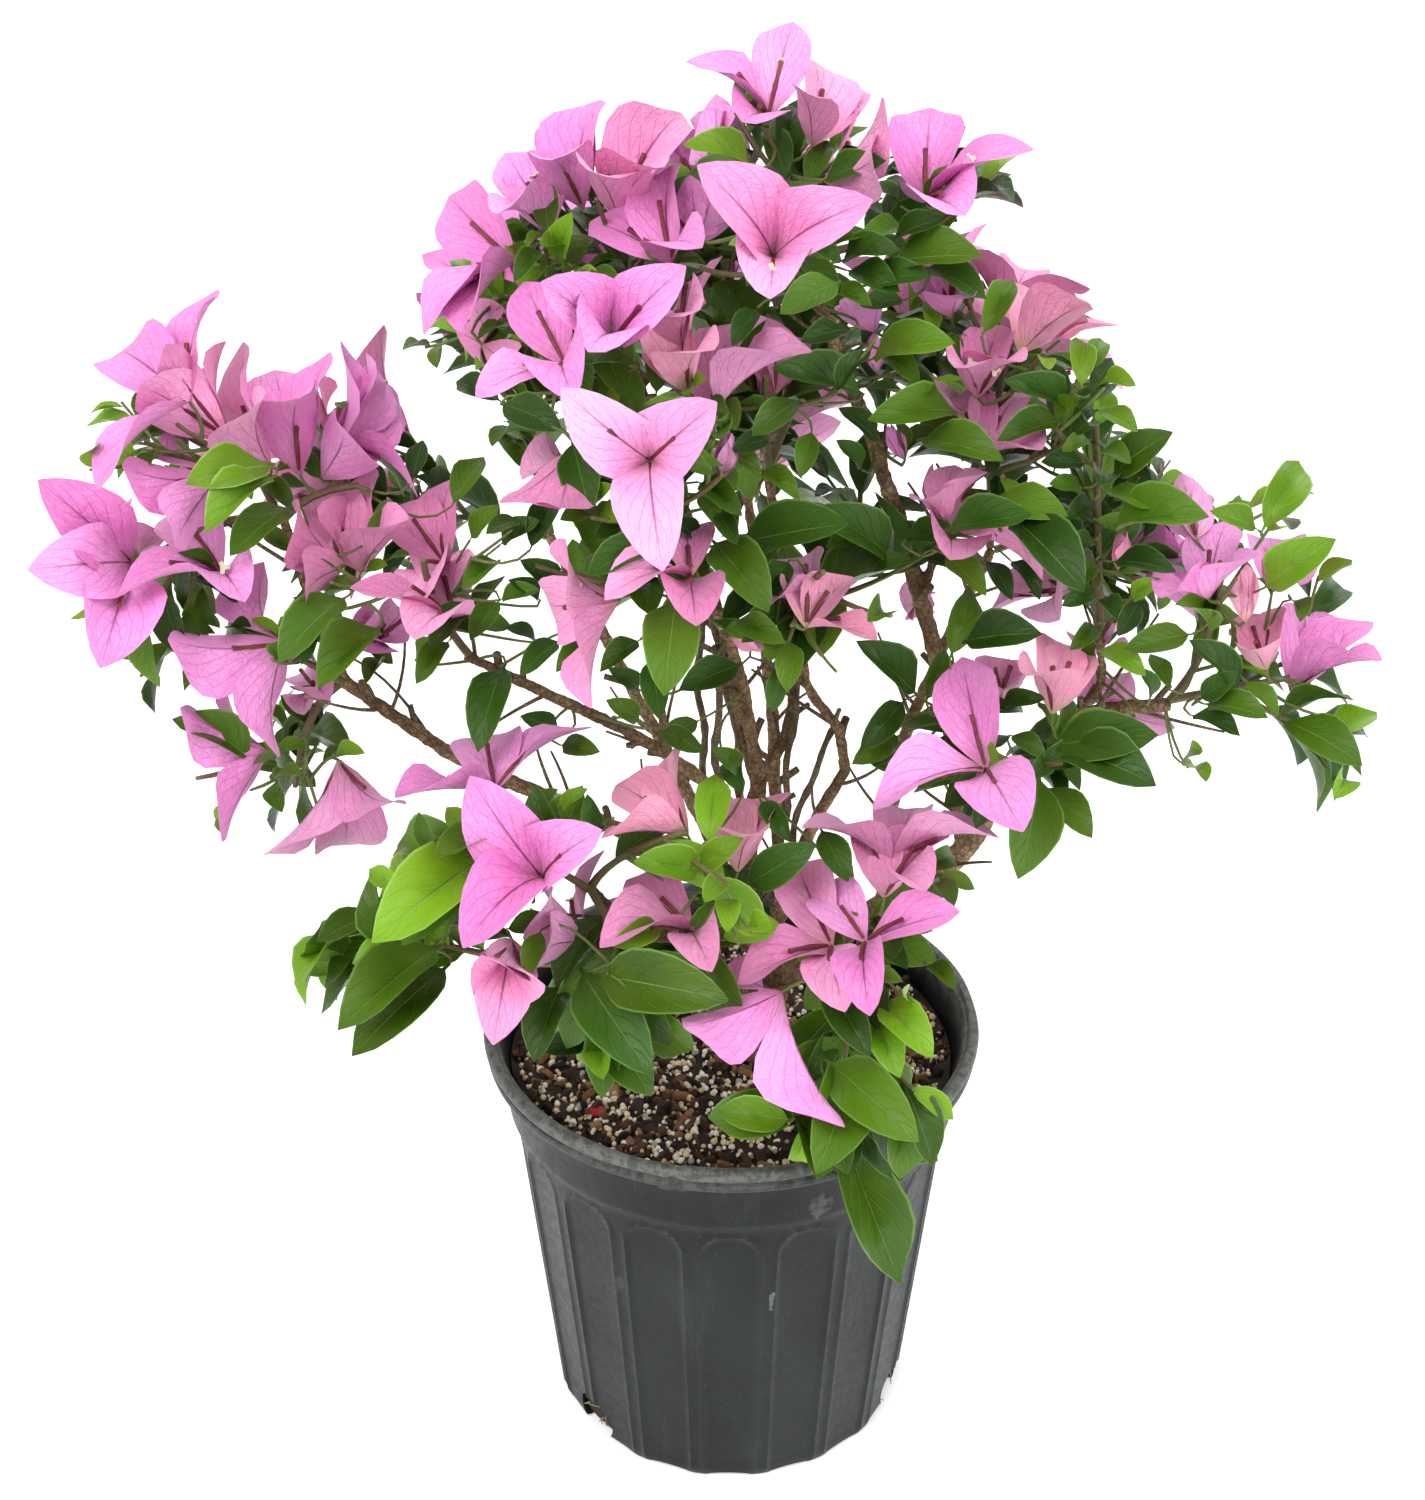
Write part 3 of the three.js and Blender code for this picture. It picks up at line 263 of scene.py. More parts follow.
RIGHT_SIDE_BLOSSOMS = (
    ("salmon", (1052, 714, -60), (1044, 633, FAR), (1079, 645, FAR), (1026, 676)),
    ("mauve", (952, 318, 2), (988, 222, FAR), (942, 248, FAR), (975, 296)),
    ("rosy", (985, 456, -22), (1022, 393, FAR), (943, 402, FAR), (1042, 450)),
    ("rosy", (945, 522, -36), (917, 500), (955, 465, FAR), (988, 472)),
    ("rosy", (944, 536, -24), (1042, 580), (925, 500, FAR), (950, 560)),
    ("pale", (1072, 590, -4), (983, 619, FAR), (1015, 575, FAR), (1060, 620)),
    ("salmon", (1020, 354, -2), (1018, 283, FAR), (1054, 295, FAR), (1089, 303)),
    ("rosy", (978, 398, -16), (1000, 325, FAR), (1021, 362), (955, 368)),
    ("mauve", (875, 332, 2), (872, 291, FAR), (862, 300, FAR), (886, 300)),
    ("mauve", (1208, 599, -32), (1226, 521, FAR), (1162, 598), (1257, 556)),
    ("pale", (1196, 540, -8), (1182, 473, FAR), (1168, 520, FAR), (1215, 500, FAR)),
    ("mauve", (1272, 592, -14), (1328, 541, FAR), (1270, 538, FAR), (1300, 585)),
    ("salmon", (1266, 670, -30), (1282, 606, FAR), (1244, 613, FAR), (1252, 650)),
    ("mauve", (1291, 692, -26), (1303, 604, FAR), (1378, 622, FAR), (1381, 661)),
    ("pale", (1098, 700, 2), (1175, 728, FAR), (1130, 672, FAR), (1085, 665, FAR)),
    ("pale", (1095, 655, 0), (1136, 622, FAR), (1080, 640, FAR), (1120, 660)),
    ("pale", (918, 600, 20), (905, 590, FAR), (935, 605, FAR), (906, 612, FAR)),
    ("rosy", (1000, 700, 10), (985, 655, FAR), (1018, 660, FAR), (1005, 690)),
)
BLOSSOMS = (
    *TOP_BLOSSOMS, *UPPER_LEFT_BLOSSOMS, *MIDDLE_BLOSSOMS, *LEFT_SIDE_BLOSSOMS, *LOW_LEFT_BLOSSOMS,
    *LOW_RIGHT_BLOSSOMS, *RIGHT_SIDE_BLOSSOMS,
)

# A closed bud: its tint, then across, down and depth of its foot, then across and down of its tip.
MIDDLE_BUDS = (
    ("pale", 722, 480, -62, 729, 432), ("salmon", 728, 632, -72, 764, 650),
)
RIGHT_SIDE_BUDS = (
    ("pale", 877, 374, -6, 874, 334), ("salmon", 1245, 622, -36, 1246, 563),
    ("salmon", 1118, 570, -20, 1124, 530), ("mauve", 905, 460, -14, 888, 425),
)
BUDS = (
    *MIDDLE_BUDS, *RIGHT_SIDE_BUDS,
)

# A leaf: its tint, its foot and its tip, in the same order as a bud's.
TOP_LEAVES = (
    ("fresh", 752, 168, -14, 683, 145), ("deep", 822, 182, -6, 886, 161),
    ("mid", 806, 186, 0, 828, 140, FAR), ("deep", 786, 182, -4, 768, 124, FAR),
    ("deep", 765, 128, -2, 740, 120), ("deep", 900, 206, -10, 872, 186),
)
UPPER_LEFT_LEAVES = (
    ("mid", 548, 236, -30, 544, 180, FAR), ("fresh", 560, 262, -30, 572, 212),
    ("fresh", 556, 258, -34, 540, 245), ("mid", 542, 250, -36, 514, 282),
    ("fresh", 575, 268, -34, 602, 300), ("mid", 590, 268, -40, 622, 290),
    ("deep", 502, 402, -60, 456, 382, FAR), ("deep", 500, 404, -62, 562, 430),
    ("mid", 592, 272, -36, 610, 305), ("mid", 656, 396, -66, 664, 344, FAR),
    ("fresh", 690, 395, -76, 706, 380), ("deep", 757, 308, -50, 732, 346),
)
MIDDLE_LEAVES = (
    ("deep", 506, 664, -50, 478, 752), ("mid", 840, 281, -50, 780, 314), ("deep", 866, 286, -28, 931, 276),
    ("deep", 864, 394, -36, 772, 368), ("deep", 736, 544, -76, 849, 524), ("mid", 712, 540, -84, 769, 612),
    ("mid", 677, 596, -116, 664, 696), ("deep", 652, 542, -110, 588, 576),
    ("deep", 572, 440, -84, 590, 514), ("mid", 698, 482, -84, 742, 516), ("mid", 716, 512, -84, 738, 545),
    ("mid", 734, 620, -84, 785, 643), ("mid", 790, 640, -86, 787, 692), ("mid", 776, 640, -88, 768, 662),
    ("deep", 742, 664, -60, 679, 690), ("mid", 596, 512, -94, 560, 520), ("fresh", 594, 508, -96, 612, 484),
    ("fresh", 590, 512, -96, 622, 520), ("deep", 640, 690, -70, 608, 668),
    ("deep", 536, 640, -60, 505, 628), ("deep", 600, 610, -70, 560, 640), ("mid", 500, 600, -60, 470, 640),
    ("deep", 862, 470, -22, 836, 440), ("deep", 850, 330, -30, 800, 342), ("mid", 800, 400, -46, 752, 436),
    ("mid", 812, 430, -40, 800, 478), ("deep", 770, 440, -50, 732, 452), ("mid", 760, 470, -60, 800, 500),
    ("deep", 700, 540, -80, 672, 520), ("deep", 800, 510, -46, 760, 556), ("deep", 790, 560, -56, 760, 604),
    ("mid", 640, 640, -76, 600, 672), ("deep", 652, 655, -76, 660, 720), ("mid", 700, 720, -40, 660, 740),
    ("mid", 640, 720, -60, 606, 700), ("deep", 560, 640, -60, 520, 676), ("mid", 590, 640, -70, 556, 672),
    ("deep", 540, 600, -56, 508, 580), ("deep", 560, 590, -66, 520, 560), ("mid", 500, 560, -46, 462, 590),
    ("deep", 500, 545, -46, 540, 520), ("mid", 470, 540, -36, 500, 505), ("deep", 470, 600, -60, 430, 648),
    ("mid", 500, 600, -60, 540, 590), ("deep", 530, 550, -56, 556, 500, FAR),
    ("mid", 520, 520, -50, 486, 534), ("mid", 830, 250, -20, 870, 232), ("deep", 840, 262, -24, 900, 250),
    ("deep", 846, 270, -26, 900, 292), ("mid", 832, 292, -30, 872, 306), ("deep", 800, 240, -30, 842, 262),
)
LEFT_SIDE_LEAVES = (
    ("fresh", 274, 466, -50, 186, 484), ("fresh", 276, 476, -54, 205, 533),
    ("mid", 292, 506, -54, 230, 556), ("mid", 262, 530, -52, 297, 552), ("mid", 348, 596, -72, 279, 663),
    ("mid", 382, 626, -66, 318, 688), ("mid", 362, 546, -46, 405, 511, FAR),
    ("deep", 412, 482, -20, 423, 440, FAR), ("mid", 452, 506, -24, 484, 457, FAR),
    ("mid", 450, 640, -60, 416, 684), ("mid", 384, 660, -42, 366, 684), ("mid", 415, 660, -42, 440, 640),
)
LOW_LEFT_LEAVES = (
    ("fresh", 492, 853, -98, 372, 943), ("mid", 484, 872, -94, 402, 946), ("mid", 442, 944, -84, 338, 1030),
    ("mid", 450, 964, -84, 352, 1056), ("mid", 376, 914, -72, 317, 942), ("mid", 594, 974, -124, 729, 1000),
    ("deep", 580, 968, -116, 652, 1076), ("mid", 541, 930, -118, 527, 979),
    ("deep", 562, 984, -112, 534, 1062), ("fresh", 702, 870, -102, 633, 862),
    ("fresh", 698, 868, -100, 743, 838), ("fresh", 709, 846, -98, 715, 774, FAR),
    ("deep", 746, 886, -92, 816, 845), ("fresh", 662, 925, -112, 611, 946),
    ("mid", 660, 730, -56, 704, 752), ("deep", 560, 730, -50, 520, 716), ("mid", 560, 745, -60, 600, 752),
    ("deep", 725, 760, -60, 742, 792), ("mid", 740, 770, -70, 712, 748), ("deep", 760, 800, -70, 790, 842),
)
LOW_RIGHT_LEAVES = (
    ("deep", 1048, 746, -60, 1158, 735), ("deep", 1058, 752, -64, 1156, 786),
    ("mid", 1040, 774, -66, 1018, 879), ("mid", 1044, 786, -60, 1092, 838),
    ("fresh", 1180, 762, -34, 1192, 740), ("fresh", 1188, 768, -34, 1206, 782),
    ("deep", 820, 828, -78, 848, 882), ("deep", 826, 984, -112, 870, 1056),
    ("fresh", 880, 1000, -118, 933, 1058), ("fresh", 868, 1010, -116, 900, 1078),
    ("mid", 826, 1060, -118, 919, 1142), ("mid", 928, 964, -96, 956, 990),
    ("deep", 1010, 735, -58, 1046, 758), ("mid", 900, 735, -40, 852, 764),
    ("deep", 930, 770, -46, 866, 760),
)
RIGHT_SIDE_LEAVES = (
    ("mid", 888, 262, -20, 982, 256), ("deep", 924, 267, -14, 986, 299), ("deep", 893, 242, -18, 945, 219),
    ("fresh", 936, 336, -8, 926, 301, FAR), ("fresh", 982, 336, -14, 1013, 280, FAR),
    ("fresh", 870, 360, -20, 955, 343), ("mid", 957, 412, -24, 868, 420), ("mid", 918, 440, -30, 1004, 461),
    ("deep", 944, 530, -50, 1032, 515), ("deep", 1008, 514, -46, 1084, 592),
    ("mid", 988, 500, -36, 1068, 516), ("mid", 944, 554, -36, 986, 596),
    ("mid", 950, 658, -40, 972, 590, FAR), ("deep", 962, 642, -36, 1042, 634),
    ("deep", 918, 696, -40, 856, 641), ("mid", 926, 702, -44, 946, 650, FAR),
    ("deep", 905, 700, -44, 860, 750), ("deep", 1072, 410, -30, 1004, 380),
    ("fresh", 1082, 388, -30, 1076, 337, FAR), ("mid", 1062, 420, -36, 997, 441),
    ("mid", 1112, 476, -26, 1173, 432), ("mid", 1098, 452, -26, 1131, 464),
    ("deep", 1086, 464, -28, 1041, 462), ("mid", 1084, 488, -30, 1049, 484),
    ("mid", 1104, 490, -26, 1152, 509), ("mid", 1108, 527, -30, 1209, 517),
    ("fresh", 1098, 384, -24, 1136, 386), ("fresh", 1098, 410, -24, 1138, 432),
    ("deep", 1112, 562, -30, 1176, 572), ("fresh", 1130, 600, -36, 1160, 578),
    ("fresh", 1262, 531, -30, 1299, 461, FAR), ("fresh", 1258, 530, -32, 1210, 511),
    ("fresh", 1264, 588, -38, 1336, 539), ("mid", 1280, 720, -34, 1362, 766),
    ("deep", 1240, 692, -42, 1189, 640), ("mid", 1204, 704, -44, 1268, 718),
    ("mid", 1244, 680, -42, 1279, 716), ("mid", 1192, 634, -38, 1124, 649),
    ("fresh", 1098, 648, -36, 1146, 676), ("mid", 1290, 600, -26, 1300, 622),
    ("deep", 892, 560, -30, 812, 508), ("deep", 878, 442, -20, 838, 408),
    ("mid", 1090, 440, -28, 1062, 452), ("deep", 1094, 500, -28, 1066, 520),
    ("mid", 1094, 520, -28, 1126, 534, FAR), ("deep", 1095, 540, -28, 1064, 552),
    ("mid", 1096, 560, -28, 1068, 590), ("deep", 1096, 590, -30, 1062, 606),
    ("deep", 1096, 600, -30, 1122, 622), ("mid", 1096, 625, -30, 1070, 650),
    ("mid", 1096, 640, -30, 1072, 672, FAR), ("deep", 1090, 395, -28, 1112, 358, FAR),
    ("mid", 1090, 372, -26, 1100, 338, FAR), ("deep", 1140, 600, -36, 1118, 636),
    ("deep", 1150, 700, -44, 1140, 668), ("mid", 1170, 690, -40, 1150, 654, FAR),
    ("deep", 1200, 700, -44, 1238, 672), ("deep", 1190, 715, -40, 1240, 736),
    ("mid", 1120, 720, -50, 1066, 724), ("deep", 1000, 705, -50, 1046, 698),
    ("deep", 905, 715, -36, 870, 724), ("deep", 985, 560, -20, 1012, 600),
    ("deep", 1010, 560, -20, 1040, 600), ("mid", 880, 520, -20, 826, 548),
    ("deep", 905, 540, -30, 962, 534), ("mid", 880, 350, -18, 920, 384), ("deep", 905, 300, -14, 860, 306),
    ("mid", 905, 380, -20, 938, 396), ("mid", 905, 226, -12, 862, 232),
)
LEAVES = (
    *TOP_LEAVES, *UPPER_LEFT_LEAVES, *MIDDLE_LEAVES, *LEFT_SIDE_LEAVES, *LOW_LEFT_LEAVES, *LOW_RIGHT_LEAVES,
    *RIGHT_SIDE_LEAVES,
)

# ---- Sizes, counts and seeds of what grows and fills ----

GOLDEN_ANGLE = math.radians(137.5)
CROWN_HEART = np.array((0.0, 20.0, 380.0))
REACH_LOW = np.array((-283.0, -172.0, 160.0))
REACH_HIGH = np.array((268.0, 212.0, 661.0))
TWIG_RADIUS = 1.5
BARK_SLIMNESS = 0.88
SIDE_LENGTH = 48
SIDE_LEAN = 52
FINE_SHOOTS = 7
BACK_SHOOTS = 9
FINE_LENGTH = 30
LEAF_SPACING = 7.5
LEAF_TINTS = ("deep", "mid", "fresh")
BRACT_TINTS = ("mauve", "rosy", "salmon", "pale")
BRACT_LENGTH = 52
HANGING_TIP = np.array((72.0, -135.0, 168.0))
TRIES = 6
MOST_HIDDEN = 0.12
BLADE_CELL = 5.0
WOOD_CELL = 4.5
SPUR_KEYS = 90
BLOSSOM_KEYS = 200
BUD_KEYS = 280
LEAF_KEYS = 300
FLOWER_STALK = 20
LEAF_STALK = 30
CHIPS = 1500
BEADS = 2800
ROOTS_PER_HOLE = 34
SOIL_SEED = 41
BED_SEED = 7
WOOD_VOXEL = 1.15
WORLD_STRENGTH = 0.9

# ---- Settings ----

# Pale marks on the pot: turn from the front in degrees, height, width and length in mm, strength.
POT_MARKS = (
    (4, 186, 2.2, 2, 0.8), (4.3, 182.5, 2.4, 1.6, 0.7), (4, 179, 2, 1.6, 0.8), (4.2, 175.5, 2, 1.4, 0.6),
    (22, 178, 12, 16, 0.25), (0.5, 147, 2.4, 6, 0.6), (2, 150, 1.4, 1.6, 0.6), (11, 121, 2.6, 15, 0.45),
    (11.6, 126, 1.4, 5, 0.7), (3.5, 26, 1.2, 1.2, 0.6), (-14, 192, 16, 3, 0.2), (-31, 120, 5, 14, 0.12),
)


COLOUR = {"size": 3, "subtype": "COLOR", "min": 0, "max": 1}


class PotSettings(bpy.types.PropertyGroup):
    """The nursery pot's relief and colour."""

    panel_depth: bpy.props.FloatProperty(
        name="Panel depth", description="How far an arched panel lies behind the ribs",
        default=2.0 * MM, min=0, unit="LENGTH",
    )
    ridge: bpy.props.FloatProperty(
        name="Panel ridge", description="Height of the moulded line round a panel",
        default=0.6 * MM, min=0, unit="LENGTH",
    )
    colour: bpy.props.FloatVectorProperty(
        name="Plastic", description="Colour of the moulded plastic",
        default=(0.005, 0.0068, 0.008), **COLOUR,
    )
    # The dust colour also paints the sheen on the rim.
    dust: bpy.props.FloatVectorProperty(
        name="Dust", description="Colour of the dust on the rim",
        default=(0.2, 0.21, 0.19), **COLOUR,
    )


class PlantSettings(bpy.types.PropertyGroup):
    """How much grows on the limbs, and the colours of it."""

    leaf_scale: bpy.props.FloatProperty(
        name="Leaf size", description="Length of the leaves as a share of their usual length",
        default=0.86, min=0.3, max=1.5, subtype="FACTOR",
    )
    leaf_colour: bpy.props.FloatVectorProperty(
        name="Leaf", description="Colour of a grown leaf",
        default=(0.048, 0.125, 0.004), **COLOUR,
    )
    bract_colour: bpy.props.FloatVectorProperty(
        name="Bract", description="Colour of an open bract",
        default=(0.88, 0.31, 0.68), **COLOUR,
    )
    bark_colour: bpy.props.FloatVectorProperty(
        name="Bark", description="Colour of the old wood",
        default=(0.19, 0.112, 0.053), **COLOUR,
    )


class StageSettings(bpy.types.PropertyGroup):
    """The camera, the floor and the light."""

    lens: bpy.props.FloatProperty(
        name="Lens", description="Focal length on a 36 mm sensor, in millimetres",
        default=VIEW_FOCUS / VIEW_HEIGHT * SENSOR, min=1,
    )
    floor_size: bpy.props.FloatProperty(
        name="Floor", description="Side of the square floor", default=24, min=1, unit="LENGTH",
    )
    key_power: bpy.props.FloatProperty(
        name="Key light", description="Power of the large light above the front",
        default=43, min=0, unit="POWER",
    )


# ---- Seeded chance and directions ----


def multiplied(a, b):
    """The low 32 bits of a product."""
    return (a * b) & 0xFFFFFFFF


def chance(spray, shoot, draw):
    """Always the same number from 0 to 1 for the same spray, shoot and draw."""
    h = multiplied(spray + 1, 374761393)
    h = multiplied(h ^ (shoot + 1), 668265263)
    h = multiplied(h ^ (h >> 15) ^ (draw + 1), 1274126177)
    h = multiplied(h ^ (h >> 13), 2246822519)
    return (h ^ (h >> 16)) / 4294967296


def between(low, high, *keys):
    """A seeded number from low to high."""
    return low + (high - low) * chance(*keys)


def unit(vector):
    """The same direction with a length of one."""
    return vector / max(np.linalg.norm(vector), 1e-9)


def cross_directions(direction):
    """Two directions square to a third."""
    helper = (0, 0, 1) if abs(direction[2]) < 0.9 else (1, 0, 0)
    side = unit(np.cross(direction, helper))
    return side, unit(np.cross(side, direction))


def leaned(axis, lean, turn):
    """A direction leaned from an axis by an angle in degrees, and turned round it in radians."""
    side, over = cross_directions(axis)
    angle = math.radians(lean)
    across = side * math.cos(turn) + over * math.sin(turn)
    return axis * math.cos(angle) + across * math.sin(angle)


def light_at(point):
    """Which way light comes from, at a point of the crown: up, and out from its heart."""
    return unit(unit(point - CROWN_HEART) * 0.6 + (0, 0, 0.75))


# ---- Lines ----


def seen_at(across, down, depth):
    """The place, in mm, that the view shows at a point, in the upright plane y = depth."""
    ahead = np.array((
        math.sin(VIEW_TURN) * -math.cos(VIEW_TILT), math.cos(VIEW_TURN) * math.cos(VIEW_TILT),
        -math.sin(VIEW_TILT),
    ))
    right = np.array((math.cos(VIEW_TURN), math.sin(VIEW_TURN), 0))
    above = np.cross(right, ahead)
    way = ahead + right * (across - VIEW_WIDTH / 2) / VIEW_FOCUS
    way = way - above * (down - VIEW_HEIGHT / 2) / VIEW_FOCUS
    return EYE + way * (depth - EYE[1]) / way[1]


def seen_length(foot, end):
    """How long a blade looks in the view, in mm."""
    return math.hypot(end[0] - foot[0], end[1] - foot[1]) * 1.04 / PIXELS_PER_MM


def tip_at(root, end, length):
    """A blade's tip on its sight line, its length from its root, nearer the eye or farther."""
    across, down, *other = end
    side = other[0] if other else NEAR
    sight = unit(seen_at(across, down, root[1]) - EYE)
    closest = EYE + sight * sight.dot(root - EYE)
    gap = float(np.linalg.norm(closest - root))
    further = math.sqrt(max(length**2 - gap**2, 0))
    return np.clip(closest + sight * further * side, REACH_LOW, REACH_HIGH)


class Line:
    """A curve as many points in order, read by the share of its length."""

    def __init__(self, points):
        self.points = np.array(points, float)
        steps = np.linalg.norm(np.diff(self.points, axis=0), axis=1)
        self.along = np.concatenate(([0], np.cumsum(steps)))
        self.length = float(self.along[-1])

    def many(self, shares):
        """The points at several shares of the length."""
        reach = np.asarray(shares) * self.length
        return np.stack([np.interp(reach, self.along, self.points[:, k]) for k in range(3)], -1)

    def at(self, share):
        """The point at a share of the length."""
        return self.many([share])[0]

    def heading(self, share):
        """The way that the curve goes at a share of the length."""
        before, after = self.many([max(share - 0.01, 0), min(share + 0.01, 1)])
        return unit(after - before)


def curve_through(points):
    """The centripetal curve through some points."""
    points = [np.array(p, float) for p in points]
    ends = [2 * points[0] - points[1], *points, 2 * points[-1] - points[-2]]
    t = np.linspace(0, 1, 30, endpoint=False)[:, None]
    made = []
    for p0, p1, p2, p3 in zip(ends, ends[1:], ends[2:], ends[3:]):
        d0, d1, d2 = (math.sqrt(np.linalg.norm(b - a)) for a, b in ((p0, p1), (p1, p2), (p2, p3)))
        leave = ((p1 - p0) / d0 - (p2 - p0) / (d0 + d1) + (p2 - p1) / d1) * d1
        enter = ((p2 - p1) / d1 - (p3 - p1) / (d1 + d2) + (p3 - p2) / d2) * d1
        made.append(
            p1 * (2 * t**3 - 3 * t**2 + 1) + leave * (t**3 - 2 * t**2 + t)
            + p2 * (3 * t**2 - 2 * t**3) + enter * (t**3 - t**2)
        )
    return Line(np.vstack([*made, points[-1][None]]))


def bent(start, bend, tip):
    """A curve from start to tip, drawn towards bend."""
    t = np.linspace(0, 1, 24)[:, None]
    return Line((1 - t) ** 2 * start + 2 * t * (1 - t) * bend + t**2 * tip)


# ---- Growth ----


@lru_cache(maxsize=None)
def grown_limbs():
    """Every limb's centre line, by name."""
    lines = {}
    for name, (source, share, _, via) in LIMBS.items():
        first = [lines[source].at(min(share, 0.995))] if source else []
        lines[name] = curve_through([*first, *via])
    return lines


def main_shoot(spray):
    """The main shoot's line, from beside the middle of its limb's tip to the spray's own tip."""
    limb = grown_limbs()[spray[1]]
    heading, start, tip = limb.heading(1), limb.at(1), np.array(spray[2], float)
    aim = tip - start
    start = start + unit(aim - heading * aim.dot(heading)) * LIMBS[spray[1]][2][1] * 0.5
    bend = start + heading * np.linalg.norm(aim) * 0.2 + aim * 0.35
    return bent(start, bend, tip)


def side_shoot(parent, keys, attempt, usual=SIDE_LENGTH, low=0.42, high=0.86):
    """A side shoot's line: it leans away from its parent and turns up towards the light."""
    share = between(low, high, *keys, 1)
    start = parent.at(share)
    turn = keys[1] * GOLDEN_ANGLE + between(0, 1, *keys, 2) + attempt * 1.1
    out = leaned(parent.heading(share), SIDE_LEAN, turn)
    length = usual * between(0.75, 1.2, *keys, 3) * 0.95**attempt
    bend = start + out * length * 0.5
    return bent(start, bend, bend + unit(out + light_at(bend) * 0.6) * length * 0.5)


class Room:
    """The room that is already taken, as cells, and the sight lines that stay clear."""

    def __init__(self):
        limbs = grown_limbs().values()
        wood = np.vstack([line.many(np.linspace(0, 1, 90)) for line in limbs])
        self.wood = self.cells(wood, WOOD_CELL)
        self.blades = set()
        self.clear = {}
        for across, down, radius in OPENINGS.values():
            spread = np.arange(-radius, radius + 1, 6.0)
            disc = [seen_at(across + i, down + k, OPEN_DEPTH) for i in spread for k in spread
                    if math.hypot(i, k) <= radius]
            self.keep_clear(np.array(disc), math.inf)

    def cells(self, points, size):
        """The cells of a size that some points lie in."""
        return set(map(tuple, np.floor(points / size).astype(int)))

    def sight(self, points):
        """Where points are seen from the eye, as cells, and how far away they are."""
        away = points - EYE
        far = np.linalg.norm(away, axis=1)
        return list(map(tuple, np.round(away / far[:, None] * 190).astype(int))), far

    def keep_clear(self, points, depth=None):
        """Leaves are kept from before these points, or from the whole sight line."""
        cells, far = self.sight(points)
        for cell, distance in zip(cells, far):
            limit = distance if depth is None else depth
            self.clear[cell] = max(self.clear.get(cell, 0), limit)

    def hides(self, points):
        """The share of points that would hide a blossom or close an opening."""
        cells, far = self.sight(points)
        return sum(self.clear.get(cell, 0) > d + 2 for cell, d in zip(cells, far)) / len(points)

    def inside(self, points, margin=0.0):
        """Whether all points are within the plant's reach and clear of the pot and its mix."""
        if (points < REACH_LOW + margin).any() or (points > REACH_HIGH - margin).any():
            return False
        radius = np.hypot(points[:, 0], points[:, 1])
        over = points[:, 2] > POT_HEIGHT + 3
        beside = radius > RIM_RADIUS + 3
        within = (radius < SOIL_RADIUS - 3) & (points[:, 2] > SOIL_TOP + 5)
        return bool((over | beside | within).all())

    def free(self, points):
        """Whether no blade and no limb is in the same cells."""
        blades = self.cells(points, BLADE_CELL) & self.blades
        return not (blades or self.cells(points, WOOD_CELL) & self.wood)

    def take(self, points):
        """Marks the cells of some points as taken."""
        self.blades |= self.cells(points, BLADE_CELL)


def fan(root, along, face, length, width, steps=5):
    """Points spread over a blade, to test its room by."""
    normal = unit(face - along * face.dot(along))
    across = np.cross(along, normal)
    return np.array([
        root + along * s * length + across * k * width * length * math.sin(math.pi * min(s, 0.88))
        for s in np.linspace(0.25, 1, steps) for k in (-0.46, 0, 0.46)
    ])


def blade_of(root, along, face, length, width, tint, keys):
    """A leaf or bract as a plan, with seeded bends of its own."""
    *keys, draw = keys
    return {
        "root": root, "along": unit(along), "face": face, "length": length, "width": width,
        "tint": tint, "shade": chance(*keys, draw + 300),
        "fold": between(0.06, 0.22, *keys, draw + 301),
        "droop": between(0.3, 1.1, *keys, draw + 302),
        "twist": between(-0.4, 0.4, *keys, draw + 303),
        "wave": between(0.4, 1.2, *keys, draw + 304),
        "phase": between(0, 2 * math.pi, *keys, draw + 305),
    }


def blossom_facing(line, keys, attempt):
    """Which way a blossom faces: on along its shoot, out from the crown and a little up."""
    tip = line.at(1)
    stray = [between(-0.5, 0.5, *keys, 20 + attempt * 3 + k) for k in range(3)]
    aim = line.heading(1) * 0.5 + unit(tip - CROWN_HEART) * 0.9 + (0, 0, 0.3)
    return unit(aim + np.array(stray) * 0.8)


def grow_blossom(line, keys, room):
    """The bracts of a blossom round the way that it faces, or None where there is no room."""
    tip = line.at(0.98)
    for attempt in range(TRIES):
        facing = blossom_facing(line, keys, attempt)
        turn = between(0, 2 * math.pi, *keys, 50 + attempt)
        young = keys[1] > 0 and chance(*keys, 55) < 0.16
        spread = between(34, 62, *keys, 56) - (14 if young else 0)
        bracts, cloud = [], []
        for j in range(3):
            opening = spread + 8 * between(-1, 1, *keys, 60 + j)
            along = leaned(facing, opening, turn + j * 2 * math.pi / 3)
            length = BRACT_LENGTH * between(0.84, 1.04, *keys, 65 + j) * 0.96**attempt
            length *= 0.75 if young else 1
            tint = "salmon" if young else SPRAYS[keys[0]][7]
            width = between(0.47, 0.58, *keys, 75 + j)
            bract = blade_of(tip, along, facing, length, width, tint, (*keys, 400 + j * 7))
            bracts.append(bract)
            cloud.append(fan(tip, along, facing, length, width))
        cloud = np.vstack(cloud)
        taken = len(room.cells(cloud, BLADE_CELL) & room.blades)
        if room.inside(cloud) and taken < 4 and room.hides(cloud) < MOST_HIDDEN:
            room.take(cloud)
            return {"centre": tip, "facing": facing, "bracts": bracts, "keys": keys}
    return None


